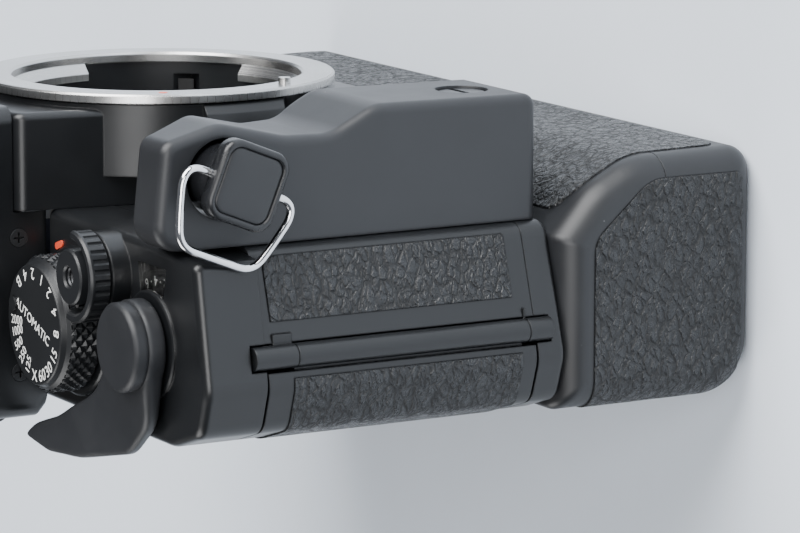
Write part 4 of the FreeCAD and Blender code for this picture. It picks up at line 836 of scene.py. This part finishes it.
class CAMERA_OT_knurling(bpy.types.Operator):
    """Cut the diamond knurl round the shutter speed dial"""

    bl_idname = "camera_body.knurling"
    bl_label = "Dial knurling"

    def execute(self, context):
        settings = context.scene.camera_marks
        low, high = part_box("shutter_dial")
        centre = (low + high) / 2
        radius = (high.x - low.x) / 2
        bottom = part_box("index_marks")[1].z + 1.1 * MM
        top = high.z - 1.8 * MM
        material = bpy.data.materials["anodised dials"]
        rows = max(2, round((top - bottom) / (settings.diamond * 0.95)))
        pitch = (top - bottom) / rows
        tree = diamond_tree(material)
        holder = bpy.data.objects.new("knurl", bpy.data.meshes.new("knurl"))
        context.scene.collection.objects.link(holder)
        knurl = holder.modifiers.new("knurl", "NODES")
        knurl.node_group = tree
        values = {
            "Radius": radius + 0.02 * MM,
            "Columns": round(2 * math.pi * radius / (2 * pitch)),
            "Rows": rows,
            "Pitch": pitch,
            "Height": 0.42 * MM,
            "Place": (centre.x, centre.y, bottom + pitch / 2),
        }
        for item in tree.interface.items_tree:
            if item.in_out == "INPUT":
                knurl[item.identifier] = values[item.name]
        context.view_layer.update()
        mesh = bpy.data.meshes.new_from_object(holder.evaluated_get(context.evaluated_depsgraph_get()))
        shape = bmesh.new()
        shape.from_mesh(mesh)
        bpy.data.objects.remove(holder)
        bpy.data.meshes.remove(mesh)
        sleeve = [
            (radius - 0.6 * MM, bottom), (radius + 0.03 * MM, bottom), (radius + 0.03 * MM, top),
            (radius - 0.6 * MM, top),
        ]
        lathe(shape, [*sleeve, sleeve[0]], at_point(centre.x, centre.y, 0), steps=120)
        finished("speed_dial_knurl", shape, material, "shutter_dial", crisp=20)
        return {"FINISHED"}


class CAMERA_OT_release_thread(bpy.types.Operator):
    """Cut the cable thread in the release button's socket"""

    bl_idname = "camera_body.release_thread"
    bl_label = "Release thread"

    def execute(self, context):
        low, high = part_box("release_button")
        centre = (low + high) / 2
        profile = []
        for turn in range(7):
            depth = high.z - 0.7 * MM - 0.55 * MM * turn
            profile += [(1.62 * MM, depth), (1.38 * MM, depth - 0.27 * MM)]
        profile += [(1.62 * MM, profile[-1][1] - 0.27 * MM)]
        shape = bmesh.new()
        lathe(shape, profile, at_point(centre.x, centre.y, 0), steps=48)
        bottom = profile[-1][1]
        lathe(
            shape, [(1.62 * MM, bottom), (1.2 * MM, bottom - 0.1 * MM), (0, bottom - 0.4 * MM)],
            at_point(centre.x, centre.y, 0), steps=48,
        )
        finished("release_thread", shape, bpy.data.materials["blackened steel"], "release_button")
        return {"FINISHED"}


class CAMERA_OT_strap_caps(bpy.types.Operator):
    """Shape the strap lugs' caps: a raised rim round a satin face, on a round drum"""

    bl_idname = "camera_body.strap_caps"
    bl_label = "Strap caps"

    def execute(self, context):
        satin = skin(
            "satin cap face", shade(context.scene.camera_case.moulding, 0.9)[:3], 0.36, grain=3800.0,
            depth=0.000006, dust=0.3,
        )
        gloss = bpy.data.materials["glossy lug moulding"]
        tilt = math.radians(22)
        for side, label in ((-1, "near"), (1, "far")):
            low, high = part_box("strap_cap_" + label)
            centre = (low + high) / 2
            outer = (low if side < 0 else high).x
            shape = bmesh.new()
            loops = []
            # Each step is (inset from the cap's edge, depth below its outer face, corner radius).
            steps = (
                (0.25, 2.9, 2.6), (0.0, 2.6, 2.8), (0.0, 0.75, 2.8), (0.12, 0.38, 2.7), (0.38, 0.10, 2.5),
                (0.70, 0.0, 2.3),
                (0.95, 0.04, 2.1), (1.10, 0.20, 2.0), (1.16, 0.55, 1.95),
            )
            for inset, depth, corner in steps:
                loops.append(cap_loop(shape, centre, tilt, outer - side * depth * MM, inset, corner))
            ring_faces(shape, loops)
            shape.faces.new(loops[0])
            finished("cap_rim_" + label, shape, gloss, "strap_cap_" + label, crisp=50)
            shape = bmesh.new()
            face = [
                (1.13, 0.75, 1.95), (1.16, 0.42, 1.95), (1.30, 0.26, 1.85), (1.60, 0.20, 1.6),
                (2.6, 0.12, 1.2), (4.0, 0.07, 0.8), (5.2, 0.05, 0.4),
            ]
            loops = [
                cap_loop(shape, centre, tilt, outer - side * depth * MM, inset, corner)
                for inset, depth, corner in face
            ]
            ring_faces(shape, loops)
            shape.faces.new(loops[-1])
            shape.faces.new(loops[0])
            finished("cap_face_" + label, shape, satin, "strap_cap_" + label, crisp=50)
            shape = bmesh.new()
            drum = [(0, 11.9), (5.35, 11.9), (5.6, 11.6), (5.6, 3.4), (5.2, 3.0), (5.2, 2.4), (0, 2.4)]
            placed = at_point(outer, centre.y, centre.z) @ Matrix.Rotation(math.radians(-90 * side), 4, "Y")
            lathe(shape, [(radius * MM, reach * MM) for radius, reach in drum], placed, steps=64)
            drum_piece = finished(
                "cap_drum_" + label, shape, gloss, "strap_cap_" + label, crisp=40,
            )
            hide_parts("strap_cap_" + label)
        return {"FINISHED"}


def cap_loop(shape, centre, tilt, across, inset, corner):
    """One loop of a strap cap's outline, tilted about the X axis."""
    points = rounded_square((6.4 - inset) * MM, (6.0 - inset) * MM, corner * MM)
    turn = Matrix.Rotation(tilt, 3, "X")
    loop = []
    for y, z in points:
        spot = turn @ Vector((0, y, z))
        loop.append(shape.verts.new((across, centre.y + spot.y, centre.z + spot.z)))
    return loop


# The wind lever's arm, from its hub to its thumb tip. SCOOP_END is a share of the reach.
LEVER_HUB, LEVER_REACH = 7.6 * MM, 27.0 * MM
LEVER_THICKNESS, LEVER_FOOT, LEVER_VOXEL = 3.1 * MM, 4 * MM, 0.28 * MM
SCOOP_DEPTH, SCOOP_END, TIP_RISE = 1.25 * MM, 0.645, 1.5 * MM
RING_TILT = math.radians(22)


class CAMERA_OT_lever(bpy.types.Operator):
    """Shape the wind lever: a scooped arm with soft edges and a raised thumb tip"""

    bl_idname = "camera_body.lever"
    bl_label = "Wind lever"

    def execute(self, context):
        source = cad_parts["wind_lever"]
        shape = bmesh.new()
        shape.from_mesh(source.data)
        bmesh.ops.remove_doubles(shape, verts=shape.verts, dist=1e-6)
        mesh = bpy.data.meshes.new("lever_blank")
        shape.to_mesh(mesh)
        shape.free()
        blank = bpy.data.objects.new("lever_blank", mesh)
        context.scene.collection.objects.link(blank)
        skinned = blank.modifiers.new("remesh", "REMESH")
        skinned.mode, skinned.voxel_size = "VOXEL", LEVER_VOXEL
        eased = blank.modifiers.new("smooth", "SMOOTH")
        eased.factor, eased.iterations = 0.5, 9
        context.view_layer.update()
        made = bpy.data.meshes.new_from_object(blank.evaluated_get(context.evaluated_depsgraph_get()))
        bpy.data.objects.remove(blank)
        hub_low, hub_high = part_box("wind_lever_cap")
        hub = (hub_low + hub_high) / 2
        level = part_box("wind_lever")[1].z
        shape = bmesh.new()
        shape.from_mesh(made)
        bpy.data.meshes.remove(made)
        for vert in shape.verts:
            away = (Vector((vert.co.x, vert.co.y, 0)) - Vector((hub.x, hub.y, 0))).length
            along = (away - LEVER_HUB) / LEVER_REACH
            if along <= 0 or vert.co.z < level - LEVER_FOOT:
                continue
            along = min(along, 1.0)
            lift = max(0.0, (vert.co.z - (level - LEVER_THICKNESS)) / LEVER_THICKNESS)
            scoop = -SCOOP_DEPTH * math.sin(math.pi * min(1.0, along * 1.55)) if along < SCOOP_END else 0.0
            rise = TIP_RISE * max(0.0, (along - 0.5) / 0.5) ** 1.5
            vert.co.z += lift * (scoop + rise)
        for _ in range(3):
            bmesh.ops.smooth_vert(
                shape, verts=shape.verts, factor=0.5, use_axis_x=True, use_axis_y=True, use_axis_z=True,
            )
        arm = finished(
            "wind_lever_arm", shape, bpy.data.materials["grip moulding"], "wind_lever",
            crisp=180,
        )
        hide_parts("wind_lever")
        return {"FINISHED"}


class CAMERA_OT_strap_rings(bpy.types.Operator):
    """Bend the strap rings from round wire, with smooth corners"""

    bl_idname = "camera_body.strap_rings"
    bl_label = "Strap rings"

    def execute(self, context):
        tilt = Matrix.Rotation(RING_TILT, 3, "X")
        for label in ("near", "far"):
            low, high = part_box("strap_ring_" + label)
            across = (low.x + high.x) / 2
            gauge = (high.x - low.x) / 2
            cap_low, cap_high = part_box("strap_cap_" + label)
            hub = (cap_low + cap_high) / 2
            curve = bpy.data.curves.new("ring", "CURVE")
            curve.dimensions, curve.bevel_depth = "3D", gauge
            curve.bevel_resolution, curve.use_fill_caps = 6, True
            path = curve.splines.new("NURBS")
            # Each point is (along the swing axis, away from it), from one end in the drum to the other.
            bends = (
                (4.2, 0.0), (6.4, 0.0), (8.3, 0.0), (9.6, 0.9), (9.9, 2.8), (9.2, 5.2), (8.2, 8.4),
                (7.2, 11.0),
                (5.4, 12.2), (2.6, 12.2), (0.0, 12.2), (-2.6, 12.2), (-5.4, 12.2), (-7.2, 11.0), (-8.2, 8.4),
                (-9.2, 5.2),
                (-9.9, 2.8), (-9.6, 0.9), (-8.3, 0.0), (-6.4, 0.0), (-4.2, 0.0),
            )
            path.points.add(len(bends) - 1)
            for point, (along, away) in zip(path.points, bends):
                spot = tilt @ Vector((0, away * MM, along * MM))
                point.co = (across, hub.y + spot.y, hub.z + spot.z, 1)
            path.order_u, path.use_endpoint_u, path.resolution_u = 3, True, 8
            holder = bpy.data.objects.new("ring", curve)
            context.scene.collection.objects.link(holder)
            context.view_layer.update()
            mesh = bpy.data.meshes.new_from_object(holder.evaluated_get(context.evaluated_depsgraph_get()))
            bpy.data.objects.remove(holder)
            shape = bmesh.new()
            shape.from_mesh(mesh)
            bpy.data.meshes.remove(mesh)
            name = "strap_ring_" + label
            wire_ring = finished(
                "wire_ring_" + label, shape, bpy.data.materials["chrome wire"], name,
                crisp=60,
            )
            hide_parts(name)
        return {"FINISHED"}


class CAMERA_OT_stage(bpy.types.Operator):
    """Set the floor, the lights and the view"""

    bl_idname = "camera_body.stage"
    bl_label = "Stage"

    def execute(self, context):
        settings = context.scene.camera_stage
        shape = bmesh.new()
        bmesh.ops.create_grid(shape, x_segments=1, y_segments=1, size=6.0)
        mesh = bpy.data.meshes.new("floor")
        shape.to_mesh(mesh)
        shape.free()
        mesh.materials.append(
            skin(
                "pale paper", settings.floor, 0.9, patch=0.985, grain=900.0, depth=0.00001, dust=0.0,
                edge=0.0,
            )
        )
        floor = bpy.data.objects.new("floor", mesh)
        context.scene.collection.objects.link(floor)
        low, high = (Vector(corner) for corner in CAD_BOX)
        heart = (low + high) / 2
        for name, power, size, offset in (
            ("key", settings.key, 1.1, (-0.15, -0.95, 0.65)),
            ("fill", settings.fill, 0.7, (-1.0, -0.1, 0.75)),
            ("back", settings.fill, 0.9, (0.25, 1.0, 0.8)),
        ):
            data = bpy.data.lights.new(name, "AREA")
            data.energy, data.size = power, size
            lamp = bpy.data.objects.new(name, data)
            lamp.location = heart + Vector(offset)
            lamp.rotation_euler = (heart - lamp.location).to_track_quat("-Z", "Y").to_euler()
            context.scene.collection.objects.link(lamp)
        world = bpy.data.worlds.new("studio")
        world.use_nodes = True
        sky = world.node_tree.nodes["Background"]
        sky.inputs["Color"].default_value = (0.86, 0.91, 1.0, 1)
        sky.inputs["Strength"].default_value = settings.sky
        context.scene.world = world
        eye = bpy.data.cameras.new("view")
        eye.lens, eye.sensor_width = 202.5, 36.0
        eye.clip_end = 20.0
        viewer = bpy.data.objects.new("view", eye)
        right = Vector((-0.49628, -0.00175, -0.86816))
        down = Vector((-0.15333, 0.98445, 0.08567))
        ahead = Vector((0.85451, 0.17563, -0.48883))
        pose = Matrix((right, -down, -ahead)).transposed().to_4x4()
        pose.translation = Vector((-0.673554, -0.130045, 0.411002))
        viewer.matrix_world = pose
        context.scene.collection.objects.link(viewer)
        context.scene.camera = viewer
        return {"FINISHED"}


OPERATORS = (
    CAMERA_OT_leather,
    CAMERA_OT_cases,
    CAMERA_OT_metalwork,
    CAMERA_OT_optics,
    CAMERA_OT_dial_marks,
    CAMERA_OT_counter_marks,
    CAMERA_OT_compensation_marks,
    CAMERA_OT_knurling,
    CAMERA_OT_release_thread,
    CAMERA_OT_strap_caps,
    CAMERA_OT_lever,
    CAMERA_OT_strap_rings,
    CAMERA_OT_stage,
)
SETTINGS = {
    "camera_covering": CoveringSettings,
    "camera_case": CaseSettings,
    "camera_metal": MetalSettings,
    "camera_marks": MarkSettings,
    "camera_stage": StageSettings,
}


class CAMERA_PT_build(bpy.types.Panel):
    """The camera's settings, and a button for each piece"""

    bl_label = "Reflex camera"
    bl_idname = "CAMERA_PT_build"
    bl_space_type = "VIEW_3D"
    bl_region_type = "UI"
    bl_category = PANEL_TAB

    def draw(self, context):
        for key, kind in SETTINGS.items():
            box = self.layout.box()
            for name in kind.__annotations__:
                box.prop(getattr(context.scene, key), name)
        for kind in OPERATORS:
            self.layout.operator(kind.bl_idname)


CLASSES = (*SETTINGS.values(), *OPERATORS, CAMERA_PT_build)


def register():
    for kind in CLASSES:
        bpy.utils.register_class(kind)
    for key, kind in SETTINGS.items():
        setattr(bpy.types.Scene, key, bpy.props.PointerProperty(type=kind))


def unregister():
    for key in SETTINGS:
        delattr(bpy.types.Scene, key)
    for kind in reversed(CLASSES):
        bpy.utils.unregister_class(kind)


def main():
    register()
    for kind in OPERATORS:
        family, name = kind.bl_idname.split(".")
        getattr(getattr(bpy.ops, family), name)()


if __name__ == "__main__":
    main()
